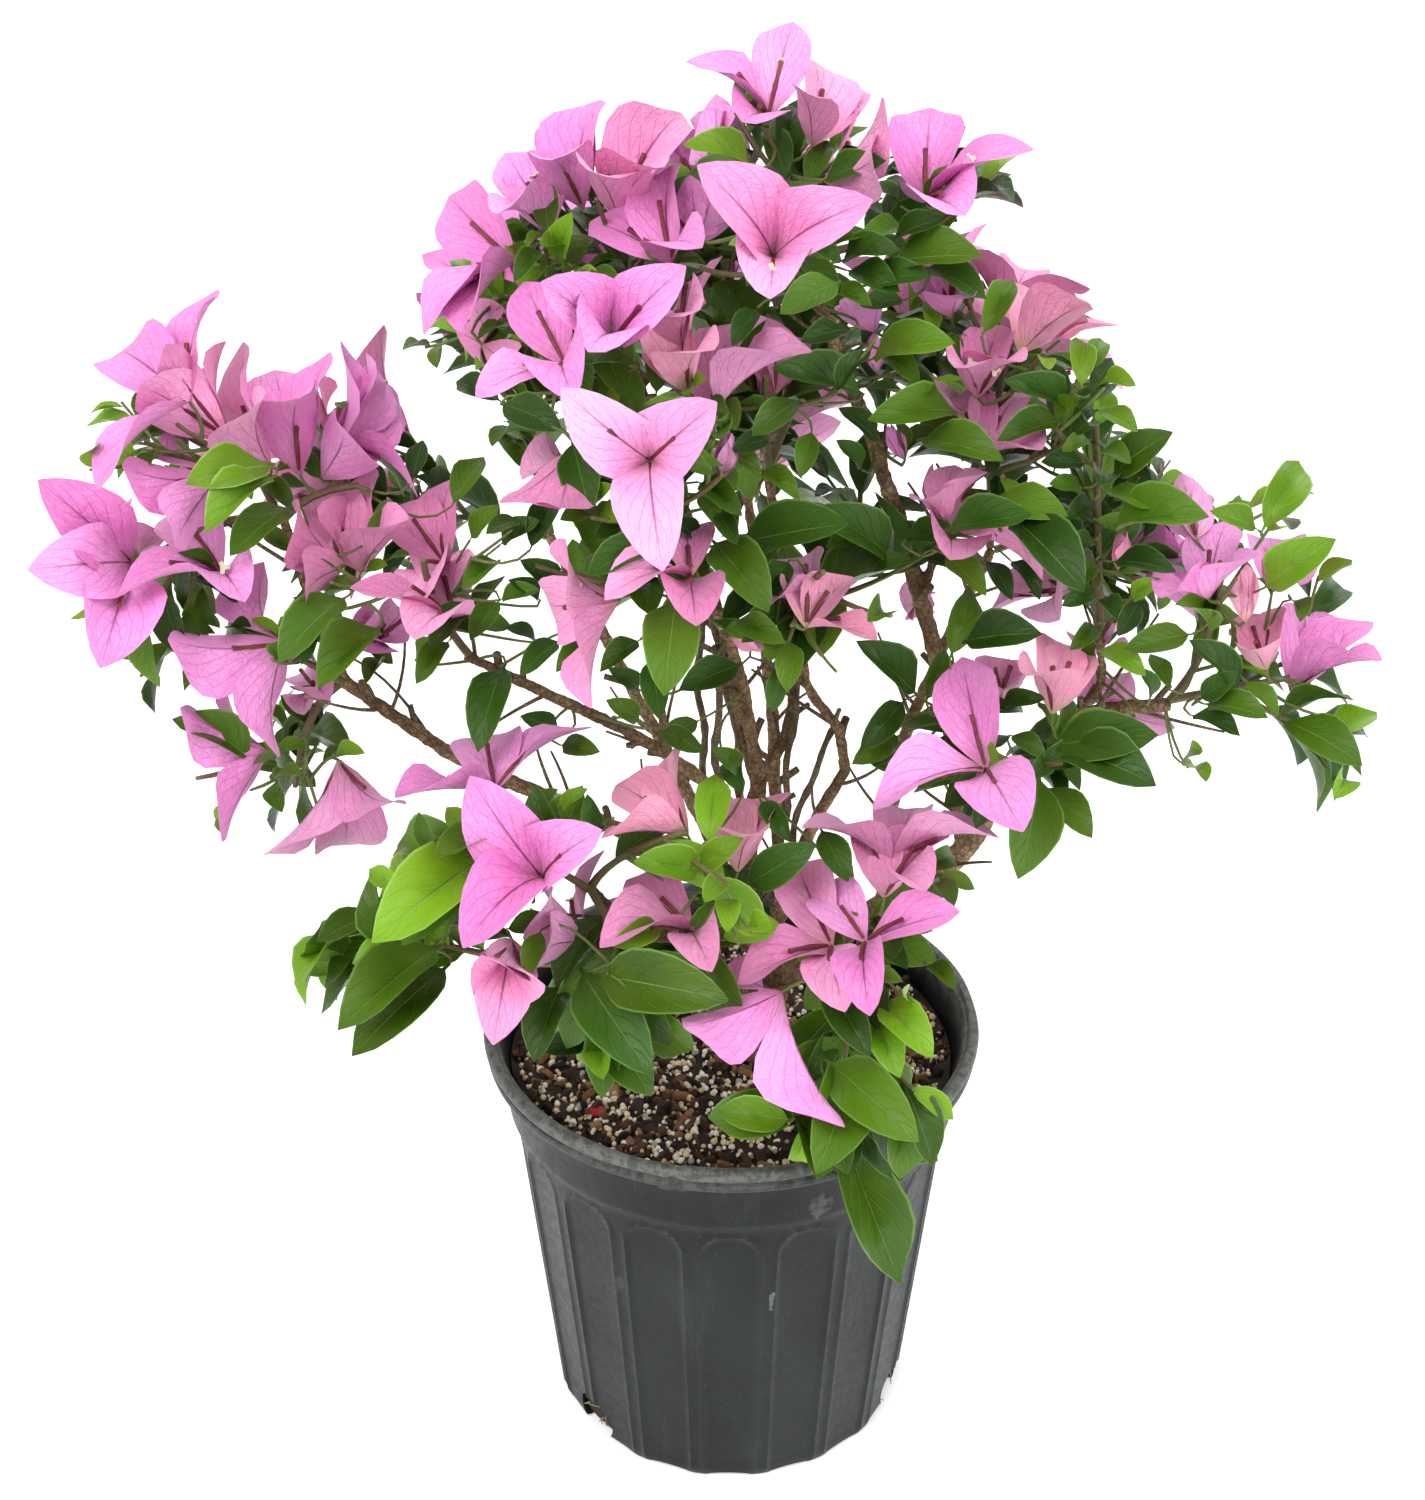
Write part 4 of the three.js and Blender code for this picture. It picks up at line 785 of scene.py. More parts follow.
def placed_blossom(reading, key, room):
    """A blossom of the front of the crown: it faces where its bracts' tips open to."""
    tint, heart, *ends = reading
    centre = seen_at(*heart)
    widest = max(seen_length(heart, end) for end in ends)
    reach = min(56, max(44 if widest > 32 else 30, widest))
    tips = [tip_at(centre, end, reach) for end in ends]
    ways = [tip - centre for tip in tips]
    facing = unit(np.cross(tips[1] - tips[0], tips[2] - tips[0]))
    middle = sum(unit(way) for way in ways) / 3
    lead = middle if np.linalg.norm(middle) > 0.3 else unit(EYE - centre)
    facing = unit(facing * math.copysign(1, facing.dot(lead)) + middle * 0.8)
    bracts = []
    for j, way in enumerate(ways):
        length = float(np.linalg.norm(way))
        width = between(0.47, 0.58, key, j, 1) * (1 if length > 40 else 1.15)
        bract = blade_of(centre, unit(way), facing, length, width, tint, (key, j, 0))
        bracts.append(bract)
        cloud = fan(centre, unit(way), facing, length, width, 9)
        room.take(cloud)
        room.keep_clear(cloud)
    return {"centre": centre, "facing": facing, "bracts": bracts, "keys": (key, 0)}


def placed_leaf(reading, key, room):
    """A leaf of the front of the crown, turned to the light and to the front."""
    tint, foot, end = reading[0], reading[1:4], reading[4:]
    root = seen_at(*foot)
    tip = tip_at(root, end, max(20, seen_length(foot, end) * 1.04))
    face = unit(light_at(root) * 0.6 + unit(EYE - root) * 0.7)
    length = float(np.linalg.norm(tip - root))
    width = between(0.38, 0.47, key, 0, 2)
    blade = blade_of(root, tip - root, face, length, width, tint, (key, 0, 0))
    blade["droop"] = between(0.2, 0.8, key, 0, 3)
    cloud = fan(root, unit(tip - root), face, length, width, 7)
    room.take(cloud)
    room.keep_clear(cloud)
    return blade


def placed_bud(reading):
    """A closed bud's tint, foot and tip."""
    tint, foot, end = reading[0], reading[1:4], reading[4:]
    root = seen_at(*foot)
    return tint, root, seen_at(end[0], end[1], root[1] + 2)


def stalk_to(point, heading, lines):
    """A fine shoot that carries a blossom or leaf: from a near place on the lines, behind it."""
    spots = np.vstack([line.many(np.linspace(0.3, 0.97, 12)) for line in lines])
    away = point - spots
    nearer = np.linalg.norm(point - EYE) - np.linalg.norm(spots - EYE, axis=1)
    cost = np.linalg.norm(away, axis=1) + np.clip(-away[:, 2], 0, None) * 0.7
    cost = cost + np.clip(nearer, 0, None) * 2
    start = spots[int(np.argmin(cost))]
    length = float(np.linalg.norm(point - start))
    if length < 1:
        return None
    bend = point - heading * length * 0.45 + (start - point) * 0.1
    return bent(start, bend, point)


def grow_leaf(line, share, number, keys, length, tint, room):
    """One leaf on a shoot, tried at other turns where there is no room, then left out."""
    root = line.at(share)
    for attempt in range(TRIES):
        turn = number * GOLDEN_ANGLE + between(0, 0.8, *keys, 70 + number) + attempt * 0.9
        lean = 56 + between(-14, 14, *keys, 80 + number)
        along = leaned(line.heading(share), lean, turn)
        own = length * between(0.75, 1.15, *keys, 90 + number) * 0.94**attempt
        width = between(0.4, 0.52, *keys, 110 + number)
        cloud = fan(root, along, light_at(root), own, width)
        if room.inside(cloud) and room.free(cloud) and room.hides(cloud) < MOST_HIDDEN:
            room.take(cloud)
            keys = (*keys, 500 + number * 7)
            return [blade_of(root, along, light_at(root), own, width, tint, keys)]
    return []


def grow_shoots(index, room):
    """The shoots of a spray: its main one, side shoots, then fine shoots on both."""
    spray = SPRAYS[index]
    shoots = [(0, main_shoot(spray))]
    for shoot in range(1, spray[4]):
        for attempt in range(TRIES):
            line = side_shoot(shoots[0][1], (index, shoot), attempt)
            path = line.many(np.linspace(0.1, 1, 12))
            if room.inside(line.many([0.5, 1.0]), 6) and room.hides(path) < 0.4:
                shoots.append((shoot, line))
                break
    coarse = list(shoots)
    fine = FINE_SHOOTS + spray[4] - 3 + (BACK_SHOOTS if spray[0].startswith("back") else 0)
    for number in range(fine):
        shoot = 10 + number
        parent = coarse[number % len(coarse)][1]
        line = side_shoot(parent, (index, shoot), 0, FINE_LENGTH, 0.25, 0.9)
        path = line.many(np.linspace(0.1, 1, 8))
        if room.inside(line.many([0.5, 1.0]), 6) and room.hides(path) < 0.3:
            shoots.append((shoot, line))
    return shoots


@lru_cache(maxsize=None)
def grown_plant():
    """Shoots, blossoms and leaves of the whole plant. All blossoms come before any leaf."""
    room = Room()
    plant = bpy.context.scene.bush_plant
    blossoms = [placed_blossom(row, BLOSSOM_KEYS + k, room) for k, row in enumerate(BLOSSOMS)]
    leaves = [placed_leaf(row, LEAF_KEYS + k, room) for k, row in enumerate(LEAVES)]
    shoots = []
    for index in range(len(SPRAYS)):
        shoots += [(index, shoot, line) for shoot, line in grow_shoots(index, room)]
    lines = [*list(grown_limbs().values())[1:], *(line for _, _, line in shoots)]
    buds = map(placed_bud, BUDS)
    carried = (
        (BLOSSOM_KEYS, FLOWER_STALK, [(blossom["centre"], blossom["facing"]) for blossom in blossoms]),
        (BUD_KEYS, FLOWER_STALK, [(root, unit(tip - root)) for _, root, tip in buds]),
        (LEAF_KEYS, LEAF_STALK, [(leaf["root"], leaf["along"]) for leaf in leaves]),
    )
    stalks = []
    for first, kind, feet in carried:
        for number, (foot, heading) in enumerate(feet):
            stalks.append((first + number, kind, stalk_to(foot, heading, lines)))
    for index, shoot, line in shoots:
        behind = SPRAYS[index][0].startswith("back")
        if behind and shoot < SPRAYS[index][3] + 2 or behind and shoot in (10, 11):
            made = grow_blossom(line, (index, shoot), room)
            blossoms += [made] if made else []
    stalks = [stalk for stalk in stalks if stalk[2]]
    hanging = [spray[0] for spray in SPRAYS].index("pot_front")
    shoot = next(line for index, _, line in shoots if index == hanging)
    leaves.append(hanging_leaf(hanging, shoot, room))
    for index, shoot, line in (*shoots, *(stalk for stalk in stalks if stalk[1] == FLOWER_STALK)):
        usual, tint = SPRAYS[index][5:7] if index < len(SPRAYS) else (46, "mid")
        count = max(2, round(line.length * 0.78 / LEAF_SPACING))
        for number in range(count):
            share = 1 - 0.76 * (number + 0.4) / count
            size = usual * plant.leaf_scale * (0.62 + 0.38 * min(1, number / 2.5))
            size *= 0.8 if shoot >= 10 else 1
            own = leaf_tint(tint, (index, shoot), number)
            leaves += grow_leaf(line, share, number, (index, shoot), size, own, room)
    return {"shoots": shoots, "stalks": stalks, "blossoms": blossoms, "leaves": leaves}


def leaf_tint(usual, keys, number):
    """The tint of a leaf: mostly its spray's, with fresh ones near a shoot's tip."""
    draw = chance(*keys, 130 + number)
    if number == 0 and draw < 0.45:
        return "fresh"
    if draw > 0.82:
        return "mid" if usual != "mid" else "deep"
    return usual


def hanging_leaf(index, line, room):
    """The leaf that hangs from the end of a main shoot over the pot's rim."""
    root = line.at(0.98)
    along = HANGING_TIP - root
    face = unit(np.array((root[0], root[1], 0)))
    length = float(np.linalg.norm(along))
    blade = blade_of(root, along, face, length, 0.33, "mid", (index, 0, 600))
    blade.update(droop=-0.2, twist=0.2, fold=0.16)
    room.take(fan(root, unit(along), face, length, 0.4))
    return blade


# ---- Modelling ----


def deselect():
    """Leaves edit mode and selects nothing."""
    if bpy.context.mode != "OBJECT":
        bpy.ops.object.mode_set(mode="OBJECT")
    bpy.ops.object.select_all(action="DESELECT")


def name_piece(name):
    """Names the object that an operator has just added."""
    piece = bpy.context.object
    piece.name = name
    piece.data.name = name
    return piece


def make_active(piece):
    """Selects one object and no other."""
    deselect()
    piece.select_set(True)
    bpy.context.view_layer.objects.active = piece


def points_of(piece):
    """A mesh's points as an array."""
    points = np.zeros(len(piece.data.vertices) * 3, np.float32)
    piece.data.vertices.foreach_get("co", points)
    return points.reshape(-1, 3).astype(float)


def pick(piece, mask):
    """Selects the vertices of a mask and goes to edit mode."""
    make_active(piece)
    bpy.ops.object.mode_set(mode="EDIT")
    bpy.ops.mesh.select_mode(type="VERT")
    bpy.ops.mesh.select_all(action="DESELECT")
    bpy.ops.object.mode_set(mode="OBJECT")
    piece.data.vertices.foreach_set("select", np.asarray(mask, bool))
    bpy.ops.object.mode_set(mode="EDIT")


def leave_edit():
    """Goes back to object mode."""
    bpy.ops.object.mode_set(mode="OBJECT")


def apply_all(piece):
    """Applies every modifier of a piece."""
    make_active(piece)
    for modifier in list(piece.modifiers):
        bpy.ops.object.modifier_apply(modifier=modifier.name)


def swell(piece, weights, distance):
    """Moves a mesh along its normals by a distance in metres times each point's weight."""
    group = piece.vertex_groups.new(name="swell")
    levels = np.round(np.clip(weights, 0, 1) * 100).astype(int)
    for level in range(1, 101):
        found = np.nonzero(levels == level)[0]
        if len(found):
            group.add(found.tolist(), level / 100, "REPLACE")
    modifier = piece.modifiers.new("swell", "DISPLACE")
    modifier.vertex_group = "swell"
    modifier.strength = distance
    modifier.mid_level = 0
    apply_all(piece)
    piece.vertex_groups.clear()


def roughen(piece, size, depth):
    """Gives a mesh a seeded relief: lumps of a size, raised by a depth, both in metres."""
    texture = bpy.data.textures.new(piece.name + "_relief", "CLOUDS")
    texture.noise_scale = size
    modifier = piece.modifiers.new("roughen", "DISPLACE")
    modifier.texture = texture
    modifier.texture_coords = "LOCAL"
    modifier.strength = depth
    modifier.mid_level = 0.5
    apply_all(piece)


def finished(piece, angle, material=None, nodes=()):
    """Shades a piece smooth but for sharper edges, paints it and fixes it to the plant's body."""
    make_active(piece)
    bpy.ops.object.shade_smooth_by_angle(angle=math.radians(angle))
    if material:
        piece.data.materials.clear()
        piece.data.materials.append(material)
    deselect()
    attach(piece, "root")
    if nodes:
        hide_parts(*nodes)


def close_edit():
    """Turns all faces outwards and leaves edit mode."""
    bpy.ops.mesh.select_all(action="SELECT")
    bpy.ops.mesh.normals_make_consistent(inside=False)
    leave_edit()


def extruded_rings(name, profile, columns):
    """A closed form of rings: a filled circle, drawn from ring to ring along a profile in mm."""
    deselect()
    radius, height = profile[0]
    bpy.ops.mesh.primitive_circle_add(
        vertices=columns, radius=radius * MM, fill_type="NGON", location=(0, 0, height * MM)
    )
    piece = name_piece(name)
    bpy.ops.object.transform_apply(location=True, rotation=True, scale=True)
    bpy.ops.object.mode_set(mode="EDIT")
    bpy.ops.mesh.select_all(action="SELECT")
    for (r0, z0), (r1, z1) in zip(profile, profile[1:]):
        bpy.ops.mesh.extrude_region_move(TRANSFORM_OT_translate={"value": (0, 0, (z1 - z0) * MM)})
        bpy.ops.transform.resize(value=(r1 / r0, r1 / r0, 1), center_override=(0, 0, z1 * MM))
    close_edit()
    return piece


def tubes(name, runs, sides=1):
    """Round tubes along lines, as one mesh. A run is its points and its radii, both in mm."""
    curve = bpy.data.curves.new(name, "CURVE")
    curve.dimensions = "3D"
    curve.bevel_depth = MM
    curve.bevel_resolution = sides
    curve.use_fill_caps = True
    for points, radii in runs:
        spline = curve.splines.new("POLY")
        spline.points.add(len(points) - 1)
        places = np.concatenate([np.asarray(points) * MM, np.ones((len(points), 1))], 1)
        spline.points.foreach_set("co", places.ravel())
        spline.points.foreach_set("radius", np.asarray(radii, float))
    piece = bpy.data.objects.new(name, curve)
    bpy.context.collection.objects.link(piece)
    make_active(piece)
    bpy.ops.object.convert(target="MESH")
    pick(piece, np.ones(len(piece.data.vertices), bool))
    bpy.ops.mesh.remove_doubles(threshold=0.00001)
    close_edit()
    return piece


def template_of(piece):
    """A small mesh as arrays, for copying: points, faces' corners and UVs. The mesh is removed."""
    mesh = piece.data
    points = points_of(piece)
    faces = [list(face.vertices) for face in mesh.polygons]
    uv = np.zeros(len(mesh.loops) * 2, np.float32)
    if mesh.uv_layers:
        mesh.uv_layers[0].data.foreach_get("uv", uv)
    bpy.data.objects.remove(piece)
    return points, faces, uv.reshape(-1, 2)


def copies_joined(name, template, places, shades, tints, materials):
    """One mesh of many copies of a template, whose points are given for each copy, in metres."""
    points, faces, uv = template
    count = len(places)
    counts = np.array([len(face) for face in faces])
    corners = np.concatenate(faces)
    mesh = bpy.data.meshes.new(name)
    mesh.vertices.add(count * len(points))
    mesh.vertices.foreach_set("co", places.astype(np.float32).ravel())
    mesh.loops.add(count * len(corners))
    shifts = np.arange(count)[:, None] * len(points)
    mesh.loops.foreach_set("vertex_index", (corners[None, :] + shifts).ravel().astype(np.int32))
    mesh.polygons.add(count * len(faces))
    starts = np.concatenate(([0], np.cumsum(np.tile(counts, count))[:-1]))
    mesh.polygons.foreach_set("loop_start", starts.astype(np.int32))
    mesh.polygons.foreach_set("material_index", np.repeat(tints, len(faces)).astype(np.int32))
    mesh.uv_layers.new(name="UVMap").data.foreach_set("uv", np.tile(uv, (count, 1)).ravel())
    shade = mesh.attributes.new("shade", "FLOAT", "POINT")
    shade.data.foreach_set("value", np.repeat(shades, len(points)).astype(np.float32))
    for material in materials:
        mesh.materials.append(material)
    mesh.update(calc_edges=True)
    mesh.validate()
    piece = bpy.data.objects.new(name, mesh)
    bpy.context.collection.objects.link(piece)
    return piece


def blade_template(name, rows, across=4):
    """A thin closed blade from a grid: x from -1 to 1 across, y from 0 to 1 along.

    rows is the share of the length and the share of the width of each row of points.
    """
    deselect()
    bpy.ops.mesh.primitive_grid_add(x_subdivisions=across, y_subdivisions=len(rows) - 1, size=2)
    piece = name_piece(name)
    grid = points_of(piece)
    heights = np.unique(np.round(grid[:, 1], 5))
    for height, (share, width) in zip(heights, rows):
        pick(piece, np.abs(grid[:, 1] - height) < 0.001)
        bpy.ops.transform.resize(value=(width, 1, 1), center_override=(0, 0, 0))
        bpy.ops.transform.translate(value=(0, share + 1 - height, 0))
        leave_edit()
    pick(piece, np.ones(len(grid), bool))
    bpy.ops.transform.translate(value=(0, -1, 0))
    leave_edit()
    inner = (np.abs(grid[:, 0]) < 0.99) & (np.abs(grid[:, 1]) < 0.99)
    pick(piece, inner)
    bpy.ops.transform.translate(value=(0, 0, 0.004))
    bpy.ops.mesh.select_all(action="SELECT")
    bpy.ops.mesh.duplicate()
    bpy.ops.transform.resize(value=(1, 1, -1), center_override=(0, 0, 0))
    bpy.ops.mesh.flip_normals()
    bpy.ops.mesh.select_all(action="SELECT")
    bpy.ops.mesh.remove_doubles(threshold=0.0001)
    close_edit()
    return template_of(piece)


def blades_laid(template, blades, cup):
    """The points of every blade, bent from the flat template, in metres."""
    flat = template[0]
    x, s, z = flat[:, 0], flat[:, 1], flat[:, 2]

    def of(key):
        return np.array([blade[key] for blade in blades], float)

    along, face, length = of("along"), of("face"), of("length")[:, None]
    normal = face - along * (face * along).sum(1)[:, None]
    normal /= np.maximum(np.linalg.norm(normal, axis=1), 1e-9)[:, None]
    across = np.cross(along, normal)
    droop = of("droop")[:, None]
    droop = np.where(np.abs(droop) < 0.02, 0.02, droop)
    arc = length * droop / 2 / np.sin(droop / 2)
    run = np.sin(droop * s) / droop * arc
    sink = -(1 - np.cos(droop * s)) / droop * arc
    tilt = droop * s
    side = x * of("width")[:, None] * length / 2
    turned = of("twist")[:, None] * (s - 0.3)
    ripple = np.sin(s * 9 * of("wave")[:, None] + of("phase")[:, None] + x * 2) * x**2
    lift = np.abs(x) * of("fold")[:, None] * length * np.sin(np.pi * np.clip(s, 0, 0.9))
    lift = lift + cup * x**2 * np.sin(np.pi * s) * length + z * length + ripple * 0.032 * length
    sideways = side * np.cos(turned) - lift * np.sin(turned)
    lift = side * np.sin(turned) + lift * np.cos(turned)
    forward = run + lift * np.sin(tilt)
    raised = sink + lift * np.cos(tilt)
    half = droop / 2
    forward, raised = (
        forward * np.cos(half) - raised * np.sin(half),
        forward * np.sin(half) + raised * np.cos(half),
    )
    points = (
        of("root")[:, None, :] + along[:, None, :] * forward[..., None]
        + across[:, None, :] * sideways[..., None] + normal[:, None, :] * raised[..., None]
    )
    return points * MM


def sheet_of_blades(name, template, blades, tint_names, materials, cup, nodes=()):
    """Leaves or bracts as one finished piece, each with the material of its tint."""
    tints = np.array([tint_names.index(blade["tint"]) for blade in blades])
    shades = np.array([blade["shade"] for blade in blades])
    places = blades_laid(template, blades, cup)
    piece = copies_joined(name, template, places, shades, tints, materials)
    finished(piece, 70, nodes=nodes)


# ---- Finishes ----


class Nodes:
    """Adds nodes to a tree and links them, from left to right."""

    def __init__(self, tree):
        self.tree = tree
        self.column = 0

    def add(self, kind, **values):
        """A node with some of its properties set."""
        node = self.tree.nodes.new(kind)
        self.column += 1
        node.location = (self.column * 180, 0)
        for key, value in values.items():
            setattr(node, key, value)
        return node

    def feed(self, socket, value):
        """Links an output to an input, or sets the input's own value."""
        if isinstance(value, bpy.types.NodeSocket):
            self.tree.links.new(value, socket)
        else:
            socket.default_value = value

    def sum(self, operation, *values):
        """A Math node's output."""
        node = self.add("ShaderNodeMath", operation=operation)
        for socket, value in zip(node.inputs, values):
            self.feed(socket, value)
        return node.outputs[0]

    def ramp(self, value, low, high, start=0.0, end=1.0):
        """A value mapped smoothly from one range to another."""
        node = self.add("ShaderNodeMapRange", interpolation_type="SMOOTHSTEP")
        for socket, given in zip(node.inputs, (value, low, high, start, end)):
            self.feed(socket, given)
        return node.outputs[0]

    def noise(self, vector, scale, detail=3.0, roughness=0.55):
        """A Noise texture's factor."""
        node = self.add("ShaderNodeTexNoise")
        self.feed(node.inputs["Vector"], vector)
        self.feed(node.inputs["Scale"], scale)
        self.feed(node.inputs["Detail"], detail)
        self.feed(node.inputs["Roughness"], roughness)
        return node.outputs["Fac"]

    def mix(self, share, first, second):
        """Two colours mixed by a share."""
        node = self.add("ShaderNodeMix", data_type="RGBA", blend_type="MIX")
        for place, value in ((0, share), (6, first), (7, second)):
            self.feed(node.inputs[place], value)
        return node.outputs[2]

    def split(self, vector):
        """The three parts of a vector."""
        node = self.add("ShaderNodeSeparateXYZ")
        self.feed(node.inputs[0], vector)
        return node.outputs

    def vector(self, operation, *values):
        """A Vector Math node's outputs."""
        node = self.add("ShaderNodeVectorMath", operation=operation)
        for socket, value in zip(node.inputs, values):
            self.feed(socket, value)
        return node.outputs

    def cells(self, vector, scale, width):
        """A mask of the lines between a Voronoi texture's cells."""
        node = self.add("ShaderNodeTexVoronoi", feature="DISTANCE_TO_EDGE")
        self.feed(node.inputs["Vector"], vector)
        self.feed(node.inputs["Scale"], scale)
        return self.ramp(node.outputs["Distance"], 0.0, width, 1.0, 0.0)

    def group(self, tree, **values):
        """A node group's outputs, with its own values."""
        node = self.add("ShaderNodeGroup", node_tree=tree)
        for key, value in values.items():
            self.feed(node.inputs[key.replace("_", " ")], value)
        return node.outputs


def group_of(name, inputs, outputs, masks):
    """A node group that a function fills with masks, built once. An input without value is a vector."""
    tree = bpy.data.node_groups.get(name)
    if tree:
        return tree
    tree = bpy.data.node_groups.new(name, "ShaderNodeTree")
    for label, value in inputs.items():
        kind = "NodeSocketVector" if value is None else "NodeSocketFloat"
        socket = tree.interface.new_socket(name=label, in_out="INPUT", socket_type=kind)
        if value is not None:
            socket.default_value = value
    for label in outputs:
        tree.interface.new_socket(name=label, in_out="OUTPUT", socket_type="NodeSocketFloat")
    make = Nodes(tree)
    made = masks(make, make.add("NodeGroupInput").outputs)
    out = make.add("NodeGroupOutput").inputs
    for label, value in zip(outputs, made):
        make.feed(out[label], value)
    return tree


def vein_masks(make, given):
    """Masks of a blade's midrib, side veins, fine net and rim, from its UVs."""
    across, along, _ = make.split(given["UV"])
    off = make.sum("ABSOLUTE", make.sum("MULTIPLY_ADD", across, 2.0, -1.0))
    taper = make.sum("MULTIPLY_ADD", along, -0.05, 0.065)
    midrib = make.ramp(off, 0.012, taper, 1.0, 0.0)
    stray = make.sum("MULTIPLY", make.noise(given["UV"], 4.0, 1.0), 0.09)
    slanted = make.sum("MULTIPLY", off, given["Slant"])
    place = make.sum("ADD", make.sum("SUBTRACT", along, slanted), stray)
    wave = make.sum("PINGPONG", make.sum("MULTIPLY", place, given["Pairs"]), 0.5)
    veins = make.ramp(wave, 0.0, given["Width"], 1.0, 0.0)
    veins = make.sum("MULTIPLY", veins, make.ramp(off, 0.6, 1.0, 1.0, 0.25))
    net = make.cells(given["UV"], given["Net"], 0.09)
    return midrib, veins, net, make.ramp(off, 0.9, 0.97)


def blotch_masks(make, given):
    """Two sizes of soft blotch over a surface, each from 0 to 1."""
    broad = make.ramp(make.noise(given["Place"], given["Broad size"], 2.0), 0.3, 0.7)
    fine = make.ramp(make.noise(given["Place"], given["Fine size"], 4.0, 0.65), 0.3, 0.7)
    return broad, fine


class Finish(Nodes):
    """A material as it is built: its shader, two sizes of blotch, and a base colour in layers."""

    def __init__(self, name, broad, fine, **constants):
        self.material = bpy.data.materials.new(name)
        self.material.use_nodes = True
        super().__init__(self.material.node_tree)
        self.shader = self.tree.nodes["Principled BSDF"]
        for key, value in constants.items():
            self.shader.inputs[key.replace("_", " ")].default_value = value
        self.place = self.add("ShaderNodeTexCoord").outputs["Object"]
        inputs = {"Place": None, "Broad size": 20.0, "Fine size": 200.0}
        blotches = group_of("mottle", inputs, ("Broad", "Fine"), blotch_masks)
        spots = self.group(blotches, Place=self.place, Broad_size=broad, Fine_size=fine)
        self.broad, self.fine = spots["Broad"], spots["Fine"]
        self.base = None

    def shade(self):
        """A copy's own shade, from 0 to 1."""
        return self.add("ShaderNodeAttribute", attribute_name="shade").outputs["Fac"]

    def veins(self, **values):
        """The place along a blade, and the masks of its veins."""
        uv = self.add("ShaderNodeUVMap", uv_map="UVMap").outputs[0]
        inputs = {"UV": None, "Pairs": 7.0, "Slant": 0.3, "Width": 0.12, "Net": 14.0}
        masks = group_of("blade_veins", inputs, ("Midrib", "Veins", "Net", "Rim"), vein_masks)
        return self.split(uv)[1], self.group(masks, UV=uv, **values)

    def start(self, share, first, second):
        """Mixes the base from two colours."""
        self.base = self.mix(share, first, second)

    def lay(self, colour, mask, strength=1.0):
        """Lays a colour over the base where a mask shows."""
        self.base = self.mix(self.sum("MULTIPLY", mask, strength), self.base, colour)

    def close(self, rough, strength, distance, *layers):
        """Feeds colour, roughness and a relief of masks and their heights, and gives the material."""
        height = 0.0
        for mask, share in layers:
            height = self.sum("MULTIPLY_ADD", mask, share, height)
        node = self.add("ShaderNodeBump")
        for key, value in (("Strength", strength), ("Distance", distance), ("Height", height)):
            self.feed(node.inputs[key], value)
        fed = (("Base Color", self.base), ("Roughness", rough), ("Normal", node.outputs[0]))
        for key, value in fed:
            self.feed(self.shader.inputs[key], value)
        return self.material


def paint(colour, factor=(1, 1, 1)):
    """A colour with four values, each channel times a factor."""
    return tuple(min(1.0, c * f) for c, f in zip(colour, factor)) + (1.0,)


def leaf_finish(name, colour, young):
    """Glossy leaf: paler midrib and side veins, fine net, a pale rim that is partly its margin and partly a
    painted highlight, and its own shade of green.
    """
    make = Finish(name, 26.0, 260.0, Roughness=0.33, Specular_IOR_Level=0.3)
    _, veins = make.veins(Pairs=8.0, Slant=0.32, Width=0.1, Net=26.0)
    make.start(make.shade(), paint(colour, (0.45, 0.52, 0.4)), paint(colour, (1.8, 1.6, 1.9)))
    make.lay(paint(colour, (2.2, 1.45, 1.2)), make.broad, 0.35)
    make.lay(paint(colour, (2, 1.6, 2)), veins["Net"], 0.12)
    make.lay(paint(colour, (2.6, 1.9, 3)), veins["Veins"], 0.22)
    # Pale rim along the leaf's edge: partly a paler margin, partly a painted highlight.
    make.lay(paint(young), veins["Rim"], 0.65)
    make.lay(paint(young), veins["Midrib"], 0.75)
    rough = make.sum("MULTIPLY_ADD", make.fine, 0.16, 0.28)
    layers = ((veins["Veins"], -0.5), (veins["Midrib"], -1.0), (veins["Net"], -0.12))
    return make.close(rough, 0.7, 0.0006, *layers)


def bract_finish(name, colour, deep, heart):
    """Papery bract: dark midrib and veins, a crinkled net, and a greener heart at its foot."""
    make = Finish(
        name, 24.0, 170.0,
        Roughness=0.55, Specular_IOR_Level=0.3, Sheen_Weight=0.12, Sheen_Roughness=0.5,
    )
    along, veins = make.veins(Pairs=7.0, Slant=0.5, Width=0.07, Net=15.0)
    make.start(make.shade(), paint(colour, (0.88, 0.7, 0.82)), paint(colour, (1.06, 1.24, 1.14)))
    make.lay(paint(deep), make.broad, 0.42)
    make.lay(paint(colour, (1.2, 1.9, 1.3)), make.fine, 0.12)
    make.lay(paint(heart), make.ramp(along, 0.02, 0.34, 0.75, 0.0))
    make.lay(paint(deep), veins["Net"], 0.12)
    make.lay(paint(deep), veins["Veins"], 0.2)
    make.lay(paint((0.2, 0.03, 0.075)), veins["Midrib"], make.ramp(along, 0.15, 0.95, 0.92, 0.25))
    rough = make.sum("MULTIPLY_ADD", make.fine, 0.2, 0.45)
    layers = ((veins["Midrib"], -1.0), (veins["Veins"], -0.8), (veins["Net"], -0.35), (make.fine, 0.5))
    return make.close(rough, 0.6, 0.001, *layers)


